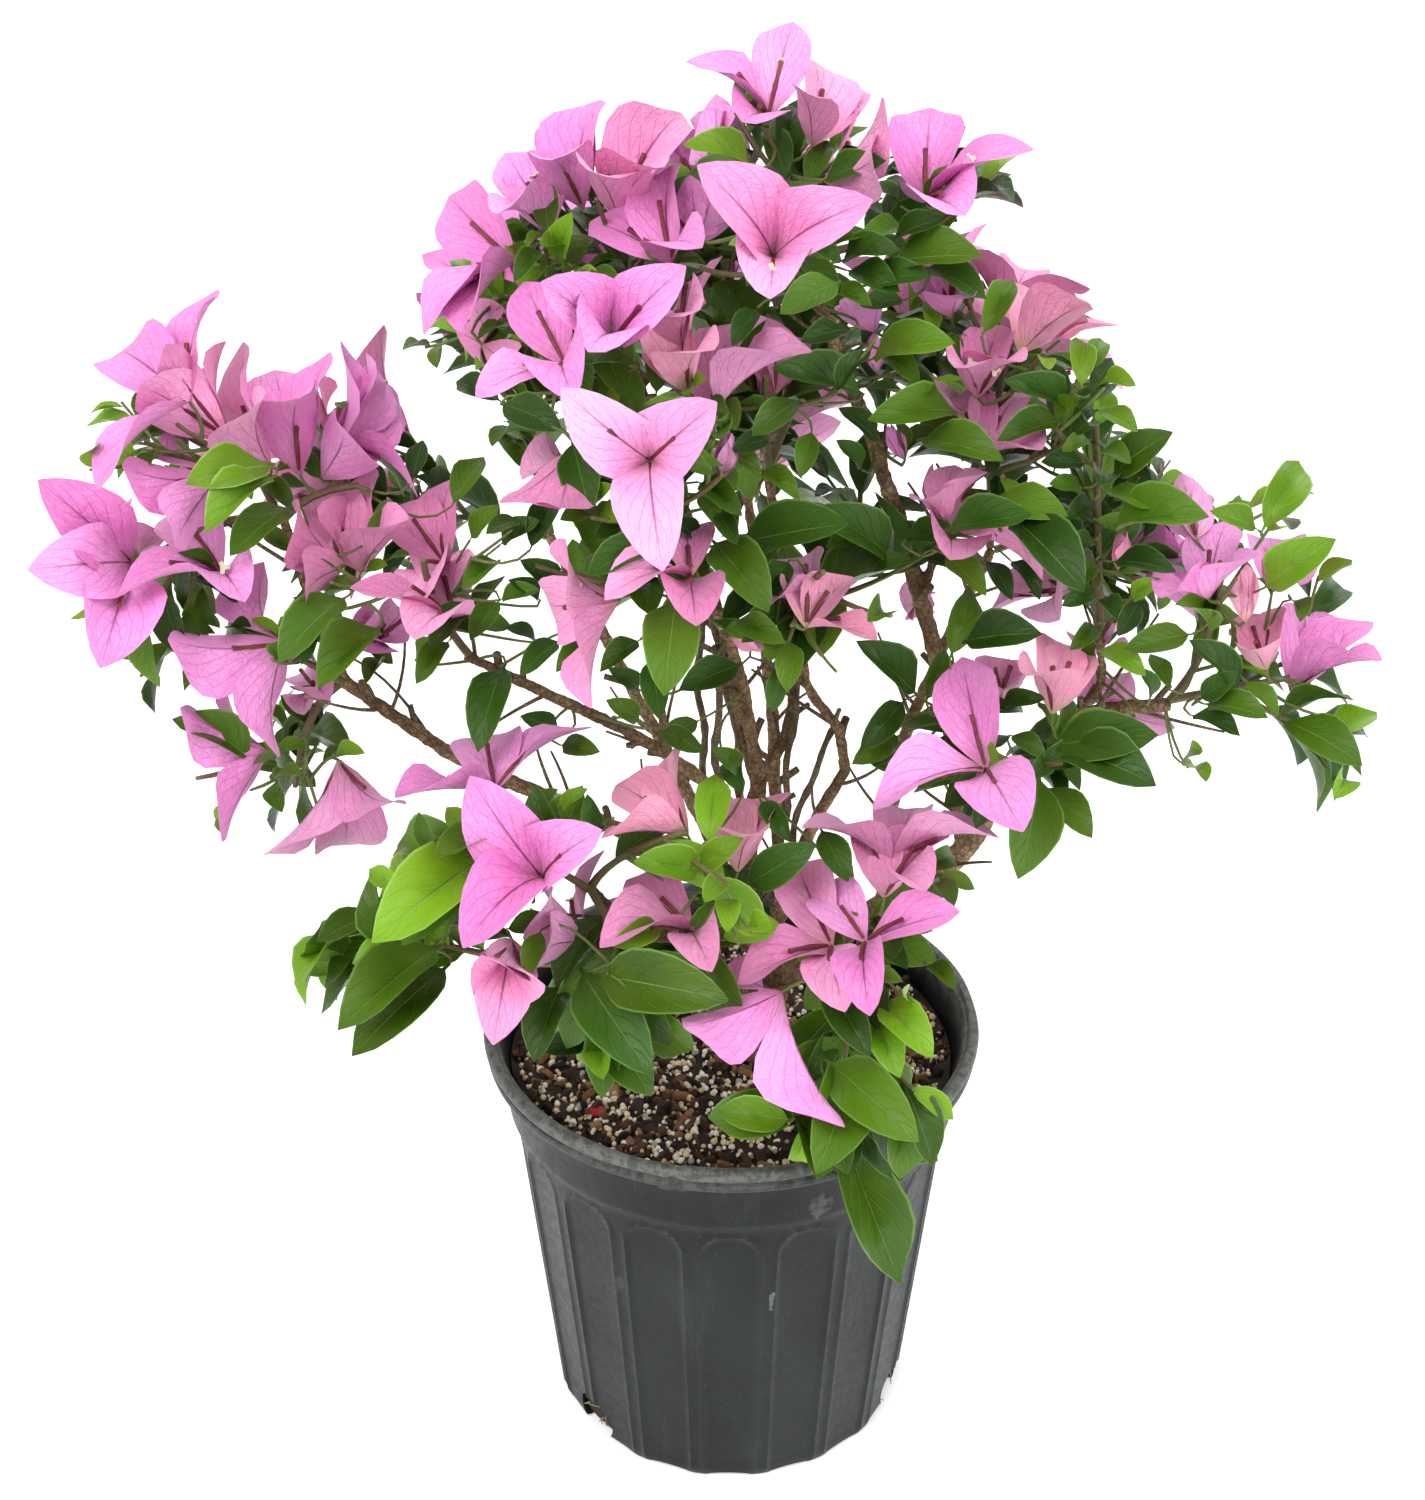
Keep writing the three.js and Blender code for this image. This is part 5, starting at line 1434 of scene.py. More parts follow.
def bark_finish(name, colour, pale, scale=1.0):
    """Bark: grey-brown plates over a paler brown, with dark cracks between."""
    make = Finish(name, 45.0 * scale, 420.0 * scale, Roughness=0.85, Specular_IOR_Level=0.25)
    cracks = make.cells(make.place, 330.0 * scale, 0.12)
    make.start(make.broad, paint(colour), paint(pale))
    make.lay(paint(colour, (0.42, 0.42, 0.42)), make.fine, 0.6)
    make.lay(paint(colour, (0.25, 0.24, 0.24)), cracks, 0.5)
    rough = make.sum("MULTIPLY_ADD", make.fine, 0.2, 0.72)
    return make.close(rough, 0.9, 0.0007, (make.fine, 1.0), (cracks, -0.7))


def stem_finish(name, colour, tip):
    """Young wood: green-brown, blotched with paler brown, faintly ridged."""
    make = Finish(name, 60.0, 600.0, Roughness=0.6, Specular_IOR_Level=0.35)
    make.start(make.broad, paint(colour), paint(tip))
    make.lay(paint(colour, (0.5, 0.5, 0.5)), make.fine, 0.35)
    rough = make.sum("MULTIPLY_ADD", make.fine, 0.2, 0.5)
    return make.close(rough, 0.5, 0.0004, (make.fine, 1.0))


def speck_finish(name, colour, other, size=300.0):
    """Grains of the mix: each a little lighter or darker, with a pitted face."""
    make = Finish(name, size * 0.3, size * 3, Roughness=0.8, Specular_IOR_Level=0.3)
    make.start(make.shade(), paint(colour), paint(other))
    make.lay(paint(colour, (0.66, 0.6, 0.5)), make.fine, 0.25)
    rough = make.sum("MULTIPLY_ADD", make.broad, 0.15, 0.7)
    return make.close(rough, 0.5, 0.0005, (make.fine, 1.0))


def mark_mask(make, angle, height, across, tall):
    """A ragged pale mark on the pot's wall: its turn, height, width and length, in mm."""
    radius = body_radius(height) + (4 if height > BAND_FOOT else 0)
    middle = Vector((math.sin(angle) * radius, -math.cos(angle) * radius, height)) * MM
    local = make.vector("SUBTRACT", make.place, middle)[0]
    shaped = make.vector("MULTIPLY", local, (2000 / across, 2000 / across, 2000 / tall))[0]
    away = make.sum("MULTIPLY_ADD", make.fine, 0.7, make.vector("LENGTH", shaped)["Value"])
    return make.ramp(away, 0.8, 1.35, 1.0, 0.0)


def pot_finish(settings):
    """Black moulded plastic, satin, with dust in streaks and marks, and a lighter rim that is partly dust and
    partly painted sheen.
    """
    make = Finish("pot_plastic", 16.0, 230.0, Roughness=0.4, Specular_IOR_Level=0.2)
    streaked = make.add("ShaderNodeMapping")
    make.feed(streaked.inputs["Vector"], make.place)
    make.feed(streaked.inputs["Scale"], (90, 90, 12))
    streaks = make.ramp(make.noise(streaked.outputs[0], 1.0, 4.0, 0.7), 0.52, 0.8)
    specks = make.ramp(make.noise(make.place, 900.0, 2.0, 0.5), 0.68, 0.74)
    # The top band of the lip is laid lighter in the dust colour: partly real dust, partly painted sheen where
    # the lip faces the light.
    rim = make.ramp(make.split(make.place)[2], 0.192, 0.208)
    rim_patches = make.sum("MULTIPLY_ADD", make.ramp(make.fine, 0.25, 0.75), 0.34, 0.3)
    rim_dust_and_sheen = make.sum("MULTIPLY", rim, rim_patches)
    body_dust = make.sum("MULTIPLY_ADD", streaks, 0.05, make.sum("MULTIPLY", make.broad, 0.03))
    body_dust = make.sum("MULTIPLY_ADD", specks, 0.16, body_dust)
    for angle, height, across, tall, strength in POT_MARKS:
        mark = mark_mask(make, math.radians(angle), height, across, tall)
        body_dust = make.sum("MAXIMUM", body_dust, make.sum("MULTIPLY", mark, strength))
    make.start(make.broad, paint(settings.colour), paint(settings.colour, (1.5, 1.45, 1.35)))
    make.lay(paint(settings.dust, (1.1, 1.1, 1.15)), body_dust)
    # Dust and painted sheen on the rim.
    make.lay(paint(settings.dust), rim_dust_and_sheen)
    rough = make.sum("MULTIPLY_ADD", make.fine, 0.12, 0.36)
    rough = make.sum("MULTIPLY_ADD", rim_dust_and_sheen, 0.35, rough)
    return make.close(rough, 0.25, 0.0004, (streaks, 1.0), (make.fine, 0.4))


def floor_finish():
    """A plain pale floor."""
    make = Finish("floor_pale", 0.4, 3.0, Roughness=0.9, Specular_IOR_Level=0.1, Emission_Strength=0.2)
    make.start(make.broad, (0.955, 0.955, 0.955, 1), (0.965, 0.965, 0.965, 1))
    make.feed(make.shader.inputs["Base Color"], make.base)
    return make.material


# ---- The pot ----


def body_radius(z):
    """The wall's outer radius at a height, in mm."""
    return BODY_FOOT_RADIUS + (BODY_TOP_RADIUS - BODY_FOOT_RADIUS) * z / BAND_FOOT


def pot_profile():
    """The pot's outline from the middle of its underside, out, up, over the lip and in, in mm."""
    foot = [(20, 0), (60, 0), (body_radius(0) - 3, 0), (body_radius(0) - 0.8, 0.8),
            (body_radius(0), 3)]
    wall = [(body_radius(z), z) for z in np.arange(5, BAND_FOOT - 3, 2.4)]
    band = [(102.2, 167.6), (103.6, 169), (104.4, 170.4), (104.7, 173), (105.4, 184), (106.3, 194),
            (107, 196.2)]
    lip = [(109.2, 196.6), (111.6, 197), (113, 198.2), (113.4, 199.8), (113, 201.2), (111.8, 202),
           (111.5, 202.6), (112.4, 203.2), (113.8, 204), (114.4, 205.4), (114.5, 207), (114.2, 208.6),
           (113.2, 209.7), (111.8, 210), (110.2, 209.6), (109.4, 208.6), (109, 207.6), (108.2, 207.4),
           (107.4, 206.4)]
    inside = [(106.2, 200), (103.4, 190), (100.6, 176), (98.4, 168), (90, 90), (82, 3.4), (50, 3)]
    return [*foot, *wall, *band, *lip, *inside]


def panel_relief(points):
    """How far each point of the pot is pressed in by a panel, and raised by a panel's ridge."""
    x, y, z = points.T / MM
    radius = np.hypot(x, y)
    angle = np.degrees(np.arctan2(x, -y))
    pitch = 360 / PANELS
    off = np.abs((angle + pitch / 2) % pitch - pitch / 2)
    side = np.radians(off) * radius
    half = np.radians(PANEL_HALF_ANGLE) * radius
    top_half = math.radians(PANEL_HALF_ANGLE) * 101
    arch = PANEL_TOP - top_half
    reach = np.where(z < arch, side - half, np.hypot(side, z - arch) - top_half)
    outer = (radius > body_radius(z) - np.where(z < 2, 3.4, 0.6)) & (z < BAND_FOOT - 1)
    step = np.clip(-reach / 2.2, 0, 1)
    step = step * step * (3 - 2 * step)
    flat = np.clip(1 - (off / PANEL_HALF_ANGLE) ** 2, 0, 1) * np.clip(-reach / 3, 0, 1)
    foot = np.clip((z - 1) / 5, 0, 1)
    pressed = (0.22 * step * foot + 0.6 * flat) * outer
    ridge = np.exp(-((reach / 1.05) ** 2)) * outer * foot
    return pressed, ridge


class BUSH_OT_pot(bpy.types.Operator):
    """Build the nursery pot with its rolled lip, arched panels and drain holes"""

    bl_idname = "bush.pot"
    bl_label = "Nursery pot"

    def execute(self, context):
        settings = context.scene.bush_pot
        pot = extruded_rings("pot_shell", pot_profile(), POT_COLUMNS)
        pressed, ridge = panel_relief(points_of(pot))
        swell(pot, pressed, -settings.panel_depth)
        swell(pot, ridge, settings.ridge)
        self.crease(pot)
        for turn in DRAIN_TURNS:
            self.drain(pot, math.radians(turn))
        finished(pot, 38, pot_finish(settings), ["nursery_pot"])
        return {"FINISHED"}

    def crease(self, pot):
        """Presses a small crease and a few shallow dents into the soft rim."""
        points = points_of(pot)
        angle = np.degrees(np.arctan2(points[:, 0], -points[:, 1]))
        rim = np.clip((points[:, 2] / MM - 196) / 6, 0, 1)
        radius = np.hypot(points[:, 0], points[:, 1])
        rim = rim * (radius > 106 * MM)
        dents = np.zeros(len(points))
        for middle, spread, depth in ((-12.4, 1.5, 1.0), (-20, 6, 0.45), (24, 9, 0.4), (96, 8, 0.5),
                                      (-118, 7, 0.5), (164, 10, 0.4)):
            away = (angle - middle + 180) % 360 - 180
            dents += depth * np.exp(-((away / spread) ** 2))
        swell(pot, np.clip(dents, 0, 1) * rim, -1.1 * MM)

    def drain(self, pot, turn):
        """Cuts one round drain hole through the corner between wall and floor."""
        deselect()
        out = DRAIN_PLACE * MM
        place = (math.sin(turn) * out, -math.cos(turn) * out, 9 * MM)
        bpy.ops.mesh.primitive_cylinder_add(
            vertices=40, radius=DRAIN_RADIUS * MM, depth=18 * MM, location=place,
            rotation=Euler((math.pi / 2, 0, turn)),
        )
        cutter = name_piece("drain_cutter")
        modifier = pot.modifiers.new("drain", "BOOLEAN")
        modifier.object = cutter
        modifier.operation = "DIFFERENCE"
        modifier.solver = "EXACT"
        apply_all(pot)
        bpy.data.objects.remove(cutter)


# ---- The potting mix ----


def soil_height(x, y):
    """The height of the mix's uneven top, in mm."""
    broad = 1.5 * np.sin(x * 0.09 + 1) * np.cos(y * 0.11)
    fine = 0.7 * np.sin(x * 0.31 + y * 0.17) * np.sin(y * 0.27 - x * 0.11)
    return SOIL_TOP + broad + fine


def turned_copies(template, places, sizes, seeds):
    """Points of a template for each place in mm, stretched by sizes and turned at random, in metres."""
    flat = template[0]
    made = []
    for place, size, seed in zip(places, sizes, seeds):
        turn = np.array(Euler(seed * 2 * math.pi).to_matrix())
        made.append((flat * size) @ turn.T + place)
    return np.array(made) * MM


class BUSH_OT_soil(bpy.types.Operator):
    """Fill the pot with bark mix, perlite beads and fine roots at the drain holes"""

    bl_idname = "bush.soil"
    bl_label = "Potting mix"

    def execute(self, context):
        random = np.random.default_rng(SOIL_SEED)
        self.bed()
        self.chips(random)
        self.beads(random)
        self.fragment()
        self.roots(random)
        return {"FINISHED"}

    def bed(self):
        """The body of the mix, close inside the pot's wall, with a lumpy top."""
        rings = [(40, 3.4), (81, 3.6), (89.4, 90), (97.8, 168), (102.4, 189)]
        rings += [(radius, SOIL_TOP) for radius in np.arange(100, 2, -2.6)]
        bed = extruded_rings("mix_bed", rings, 200)
        points = points_of(bed)
        top = points[:, 2] > (SOIL_TOP - 1.2) * MM
        inside = np.hypot(points[:, 0], points[:, 1]) < 101 * MM
        random = np.random.default_rng(BED_SEED)
        raised = soil_height(points[:, 0] / MM, points[:, 1] / MM) - SOIL_TOP
        lumps = (raised + random.uniform(-1.2, 0.5, len(points)) + 2.6) / 6
        swell(bed, np.where(top & inside, lumps, 0), 6 * MM)
        pick(bed, points_of(bed)[:, 2] > 0.19)
        bpy.ops.transform.translate(value=(0, 0, -2.6 * MM))
        leave_edit()
        dark = speck_finish("mix_dark", (0.028, 0.016, 0.009), (0.05, 0.03, 0.016), 400)
        finished(bed, 60, dark, ["potting_soil"])

    def scattered(self, random, count, lift):
        """Places on the top of the mix, clear of the wall and the trunk."""
        radius = SOIL_RADIUS * np.sqrt(random.uniform(0.0, 0.965, count))
        angle = random.uniform(0, 2 * math.pi, count)
        x, y = radius * np.cos(angle), radius * np.sin(angle)
        return np.stack([x, y, soil_height(x, y) + lift], -1)

    def chips(self, random):
        """Flakes of bark and tan grains, lying every way."""
        deselect()
        bpy.ops.mesh.primitive_cube_add(size=1)
        chip = name_piece("chip")
        modifier = chip.modifiers.new("edge", "BEVEL")
        modifier.width = 0.16
        modifier.segments = 1
        apply_all(chip)
        template = template_of(chip)
        count = CHIPS
        places = self.scattered(random, count, random.uniform(-1.0, 1.4, count))
        kinds = random.choice(4, count, p=(0.4, 0.27, 0.16, 0.17))
        length = np.where(kinds == 3, random.uniform(1.6, 3.4, count), random.uniform(3, 8.5, count))
        sizes = np.stack([length, length * random.uniform(0.4, 0.8, count),
                          length * random.uniform(0.18, 0.5, count)], -1)
        points = turned_copies(template, places, sizes, random.uniform(0, 1, (count, 3)))
        finishes = (
            speck_finish("bark_dark", (0.02, 0.01, 0.006), (0.05, 0.025, 0.014)),
            speck_finish("bark_brown", (0.06, 0.028, 0.014), (0.12, 0.055, 0.028)),
            speck_finish("bark_tan", (0.17, 0.085, 0.035), (0.3, 0.17, 0.08)),
            speck_finish("grain_gold", (0.45, 0.24, 0.07), (0.6, 0.42, 0.2)),
        )
        chips = copies_joined("mix_chips", template, points, random.uniform(0, 1, count), kinds, finishes)
        finished(chips, 30)

    def beads(self, random):
        """Round white perlite beads, half sunk in the mix."""
        deselect()
        bpy.ops.mesh.primitive_uv_sphere_add(segments=8, ring_count=5, radius=0.5)
        template = template_of(name_piece("bead"))
        count = BEADS
        places = self.scattered(random, count, random.uniform(-0.3, 1.3, count))
        size = random.uniform(1.3, 3.5, count)[:, None]
        sizes = size * random.uniform(0.85, 1.1, (count, 3))
        points = turned_copies(template, places, sizes, random.uniform(0, 1, (count, 3)))
        kinds = random.choice(3, count, p=(0.52, 0.34, 0.14))
        finishes = (
            speck_finish("perlite_white", (0.78, 0.72, 0.58), (0.95, 0.92, 0.84)),
            speck_finish("perlite_cream", (0.66, 0.5, 0.26), (0.85, 0.72, 0.46)),
            speck_finish("perlite_grey", (0.3, 0.28, 0.24), (0.44, 0.42, 0.38)),
        )
        beads = copies_joined("perlite_beads", template, points, random.uniform(0, 1, count), kinds,
                              finishes)
        finished(beads, 80)

    def fragment(self):
        """A small dry red scrap of bract on the mix."""
        deselect()
        bpy.ops.mesh.primitive_ico_sphere_add(subdivisions=3, radius=1)
        scrap = name_piece("red_scrap")
        bpy.ops.transform.resize(value=(4.6 * MM, 3.4 * MM, 1.7 * MM))
        bpy.ops.transform.rotate(value=0.5, orient_axis="Z", center_override=(0, 0, 0))
        place = Vector((-60, -51, soil_height(-60, -51) + 1.2)) * MM
        bpy.ops.transform.translate(value=place)
        bpy.ops.object.transform_apply(location=True, rotation=True, scale=True)
        roughen(scrap, 2.2 * MM, 2.0 * MM)
        red = speck_finish("scrap_red", (0.4, 0.02, 0.02), (0.24, 0.05, 0.03), 600)
        finished(scrap, 50, red)

    def roots(self, random):
        """Pale roots that show in the drain holes."""
        runs = []
        for turn in DRAIN_TURNS:
            out = np.array((math.sin(math.radians(turn)), -math.cos(math.radians(turn)), 0))
            side = np.array((-out[1], out[0], 0))
            for _ in range(ROOTS_PER_HOLE):
                start = out * random.uniform(74, 82) + side * random.uniform(-9, 9)
                start = start + (0, 0, random.uniform(4, 17))
                aim = side * random.uniform(-1, 1) + (0, 0, random.uniform(-0.8, 0.8))
                aim = unit(aim + out * random.uniform(-0.1, 0.5)) * random.uniform(5, 11)
                tip = start + aim
                tip[2] = max(tip[2], 2)
                reach = np.hypot(tip[0], tip[1])
                tip[:2] *= min(1, 87.5 / reach)
                line = bent(start, (start + tip) / 2 + random.uniform(-2.4, 2.4, 3), tip)
                runs.append((line.many(np.linspace(0, 1, 6)), [0.45, 0.42, 0.4, 0.36, 0.3, 0.2]))
        roots = tubes("drain_roots", runs, 0)
        pale = speck_finish("root_pale", (0.3, 0.24, 0.15), (0.55, 0.5, 0.38), 500)
        finished(roots, 60, pale)


# ---- The wood ----


def limb_run(name, line):
    """A limb's points and radii, knotty where buds and old leaves sat."""
    foot, tip = LIMBS[name][2]
    steps = max(8, round(line.length / 3.2))
    shares = np.linspace(0, 1, steps)
    key = list(LIMBS).index(name)
    spacing = 17 if foot < 5 else 24
    knots = np.sin(shares * line.length / spacing * 2 * math.pi + key)
    radii = (foot + (tip - foot) * shares) * (1 if name == "trunk" else BARK_SLIMNESS)
    radii = radii * (1 + 0.11 * np.clip(knots, 0, 1) ** 3)
    if name == "trunk":
        radii = radii + 7 * np.exp(-shares * line.length / 15)
    points = line.many(shares)
    wander = 0.16 * radii[:, None] * np.sin(shares[:, None] * line.length / (9, 11, 13) + key)
    return points + wander * np.sin(math.pi * shares)[:, None], radii


# Thin stems that climb inside the crown: limb and share at the foot and the top, and their sway.
INNER_STEMS = (
    ("trunk", 0.9, "middle_stem_left", 0.75, (-16, -6, 10)),
    ("centre_stem", 0.15, "crown_left_stem", 0.45, (-14, 6, -8)),
    ("centre_stem", 0.3, "middle_stem_right", 0.6, (14, -8, -6)),
    ("trunk", 0.97, "curved_stem_upper", 0.3, (-6, -4, 14)),
    ("left_upper_bough", 0.35, "middle_stem_left", 0.95, (-12, 4, 14)),
    ("centre_stem", 0.6, "crown_left_stem", 0.8, (10, 4, 6)),
)


def spurs():
    """Short stubs, cut ends and bare dead twigs on the limbs, as runs of points and radii."""
    runs = []
    limbs = grown_limbs()
    for key, (name, line) in enumerate(limbs.items()):
        if name == "trunk":
            continue
        for number in range(int(line.length / 9)):
            keys = (SPUR_KEYS + key, number)
            if chance(*keys, 1) < 0.3:
                continue
            share = between(0.08, 0.95, *keys, 2)
            heading = line.heading(share)
            out = leaned(heading, between(40, 75, *keys, 3), number * GOLDEN_ANGLE + key)
            out = unit(out + (0, 0, 0.25))
            bare = chance(*keys, 4) < 0.38
            length = between(20, 52, *keys, 5) if bare else between(4, 9, *keys, 5)
            radius = 0.95 if bare else between(1.2, 2.0, *keys, 6)
            start = line.at(share)
            tip = start + out * (length + LIMBS[name][2][0])
            swing = [between(-0.16, 0.16, *keys, 7 + k) * length for k in range(3)]
            twig = bent(start, (start + tip) / 2 + swing, tip)
            end = 0.55 if bare else 0.9
            runs.append((twig.many(np.linspace(0, 1, 7)), np.linspace(radius, radius * end, 7)))
    for source, share, end, end_share, sway in INNER_STEMS:
        start, stop = limbs[source].at(share), limbs[end].at(end_share)
        line = bent(start, (start + stop) / 2 + np.array(sway, float) * 1.6, stop)
        shares = np.linspace(0, 1, max(8, round(line.length / 4)))
        knots = 1 + 0.3 * np.clip(np.sin(shares * line.length / 11 * 2 * math.pi), 0, 1) ** 2
        wander = 1.7 * np.sin(shares[:, None] * line.length / (8, 11, 14)) * np.sin(math.pi * shares)[:, None]
        runs.append((line.many(shares) + wander, (1.9 - 0.6 * shares) * knots))
    return runs


class BUSH_OT_wood(bpy.types.Operator):
    """Build the trunk and the boughs as one knotty mesh of bark, and the bare twigs as a second mesh"""

    bl_idname = "bush.wood"
    bl_label = "Trunk and boughs"

    def execute(self, context):
        limbs = grown_limbs()
        runs = [limb_run(name, line) for name, line in limbs.items()]
        wood = tubes("trunk_and_boughs", runs, 4)
        modifier = wood.modifiers.new("grown_together", "REMESH")
        modifier.mode = "VOXEL"
        modifier.voxel_size = WOOD_VOXEL * MM
        apply_all(wood)
        roughen(wood, 5 * MM, 1.3 * MM)
        roughen(wood, 1.7 * MM, 0.7 * MM)
        bark = bark_finish("bark_old", context.scene.bush_plant.bark_colour, (0.52, 0.36, 0.2))
        finished(wood, 60, bark, list(LIMBS))
        bare = tubes("bare_twigs", spurs())
        finished(bare, 60, bark_finish("bark_twig", (0.19, 0.13, 0.07), (0.4, 0.31, 0.19), 1.6))
        return {"FINISHED"}


# ---- The shoots ----


class BUSH_OT_shoots(bpy.types.Operator):
    """Build the shoots that carry leaves and blossoms"""

    bl_idname = "bush.shoots"
    bl_label = "Shoots"

    def execute(self, context):
        old, young = [], []
        plant = grown_plant()
        for _, shoot, line in (*plant["shoots"], *plant["stalks"]):
            thick = TWIG_RADIUS * (1.25 if shoot == 0 else 0.9 if shoot < 10 else 0.62)
            thick *= 0.8 if shoot == LEAF_STALK else 1
            count = max(5, round(line.length / 6))
            shares = np.linspace(0, 1, count)
            knots = 1 + 0.18 * np.clip(np.sin(shares * line.length / 8 * 2 * math.pi), 0, 1) ** 2
            run = (line.many(shares), thick * (1 - 0.4 * shares) * knots)
            (young if shoot >= 10 else old).append(run)
        brown = stem_finish("stem_brown", (0.15, 0.1, 0.05), (0.16, 0.17, 0.06))
        finished(tubes("shoots_brown", old), 60, brown)
        green = stem_finish("stem_green", (0.1, 0.16, 0.035), (0.2, 0.2, 0.07))
        finished(tubes("shoots_green", young), 60, green)
        return {"FINISHED"}


# ---- The leaves ----

LEAF_ROWS = ((0, 0.05), (0.07, 0.08), (0.14, 0.4), (0.25, 0.74), (0.38, 0.94), (0.51, 1), (0.64, 0.94),
             (0.77, 0.74), (0.88, 0.46), (0.96, 0.17), (1, 0.02))
BRACT_ROWS = ((0, 0.06), (0.05, 0.18), (0.13, 0.42), (0.23, 0.69), (0.35, 0.9), (0.47, 1), (0.59, 0.97),
              (0.71, 0.84), (0.82, 0.62), (0.91, 0.38), (0.97, 0.15), (1, 0.02))


class BUSH_OT_leaves(bpy.types.Operator):
    """Build every leaf, each with its own bend, in three greens"""

    bl_idname = "bush.leaves"
    bl_label = "Leaves"

    def execute(self, context):
        colour = context.scene.bush_plant.leaf_colour
        # The last colour of each finish is laid on the midrib and on the rim, where it is partly a painted
        # highlight.
        finishes = (
            leaf_finish("leaf_deep", tuple(paint(colour, (0.38, 0.5, 0.6))[:3]), (0.13, 0.26, 0.05)),
            leaf_finish("leaf_mid", tuple(colour), (0.17, 0.32, 0.06)),
            leaf_finish("leaf_fresh", tuple(paint(colour, (2.3, 2.1, 2.2))[:3]), (0.32, 0.5, 0.12)),
        )
        template = blade_template("leaf", LEAF_ROWS)
        front = [leaf for leaf in grown_plant()["leaves"] if leaf["root"][1] < 0]
        behind = [leaf for leaf in grown_plant()["leaves"] if leaf["root"][1] >= 0]
        for name, leaves in (("leaves_front", front), ("leaves_back", behind)):
            nodes = [node for node in SPRAY_NODES if ("back" in node) == (name == "leaves_back")]
            sheet_of_blades(name, template, leaves, LEAF_TINTS, finishes, 0.05, nodes)
        return {"FINISHED"}


# ---- The blossoms ----


class BUSH_OT_blossoms(bpy.types.Operator):
    """Build the papery bracts and the slender flowers that they hold"""

    bl_idname = "bush.blossoms"
    bl_label = "Blossoms"

    def execute(self, context):
        colour = tuple(context.scene.bush_plant.bract_colour)
        finishes = (
            bract_finish("bract_mauve", colour, (0.62, 0.13, 0.46), (0.55, 0.18, 0.3)),
            bract_finish("bract_rosy", (0.88, 0.34, 0.61), (0.7, 0.17, 0.4), (0.6, 0.26, 0.24)),
            bract_finish("bract_salmon", (0.92, 0.38, 0.56), (0.8, 0.22, 0.4), (0.62, 0.5, 0.18)),
            bract_finish("bract_pale", (0.9, 0.39, 0.68), (0.74, 0.22, 0.5), (0.68, 0.36, 0.36)),
        )
        blossoms = grown_plant()["blossoms"]
        bracts = [bract for blossom in blossoms for bract in blossom["bracts"]]
        template = blade_template("bract", BRACT_ROWS)
        sheet_of_blades("bracts", template, bracts, BRACT_TINTS, finishes, 0.05)
        self.buds(finishes)
        self.flowers(blossoms)
        return {"FINISHED"}

    def buds(self, finishes):
        """Closed buds: three young bracts laid one over another."""
        blades = []
        for number, (tint, root, tip) in enumerate(map(placed_bud, BUDS)):
            way, length = unit(tip - root), float(np.linalg.norm(tip - root))
            for j in range(3):
                out = leaned(way, 90, j * 2 * math.pi / 3 + number)
                keys = (BUD_KEYS + number, j, 9)
                blade = blade_of(root, tip + out * 1.2 - root, -out, length, 0.5, tint, keys)
                blade.update(droop=-0.9, fold=0.1, twist=0.0)
                blades.append(blade)
        template = blade_template("bud", BRACT_ROWS)
        sheet_of_blades("buds", template, blades, BRACT_TINTS, finishes, 0.12)

    def flowers(self, blossoms):
        """A slender tube on each bract's midrib, some open in a cream star."""
        runs, stars = [], []
        for blossom in blossoms:
            keys = blossom["keys"]
            for j, bract in enumerate(blossom["bracts"]):
                reach = bract["length"] * between(0.36, 0.46, *keys, 150 + j)
                along, facing = bract["along"], blossom["facing"]
                start = blossom["centre"] + along * 1.5 + facing * 1.5
                tip = blossom["centre"] + along * reach + facing * between(5, 10, *keys, 160 + j)
                line = bent(start, (start + tip) / 2 + facing * 1.6, tip)
                runs.append((line.many(np.linspace(0, 1, 7)), [0.65, 0.8, 1.0, 1.05, 0.85, 0.9, 1.1]))
                if chance(*keys, 170 + j) < 0.1:
                    stars.append((line.at(1), line.heading(1)))
        wine = stem_finish("flower_tube", (0.14, 0.018, 0.045), (0.24, 0.07, 0.05))
        finished(tubes("flower_tubes", runs), 60, wine)
        self.stars(stars)

    def stars(self, stars):
        """The cream stars that the open flowers show."""
        bpy.ops.mesh.primitive_circle_add(vertices=10, radius=1, fill_type="TRIFAN")
        star = name_piece("star")
        points = points_of(star)
        turn = np.round(np.arctan2(points[:, 1], points[:, 0]) / (math.pi / 5)).astype(int)
        pick(star, (turn % 2 == 1) & (np.hypot(points[:, 0], points[:, 1]) > 0.5))
        bpy.ops.transform.resize(value=(0.45, 0.45, 1), center_override=(0, 0, 0))
        bpy.ops.mesh.select_all(action="SELECT")
        bpy.ops.mesh.extrude_region_move(TRANSFORM_OT_translate={"value": (0, 0, 0.16)})
        close_edit()
        template = template_of(star)
        places = []
        for centre, heading in stars:
            side, over = cross_directions(heading)
            axes = np.stack([side, over, heading])
            places.append((template[0] * 2.6) @ axes + centre)
        shades = np.linspace(0, 1, len(stars))
        cream = speck_finish("star_cream", (0.8, 0.76, 0.5), (0.86, 0.83, 0.66), 500)
        piece = copies_joined("flower_stars", template, np.array(places) * MM, shades,
                              np.zeros(len(stars)), (cream,))
        finished(piece, 30)


# ---- The stage ----


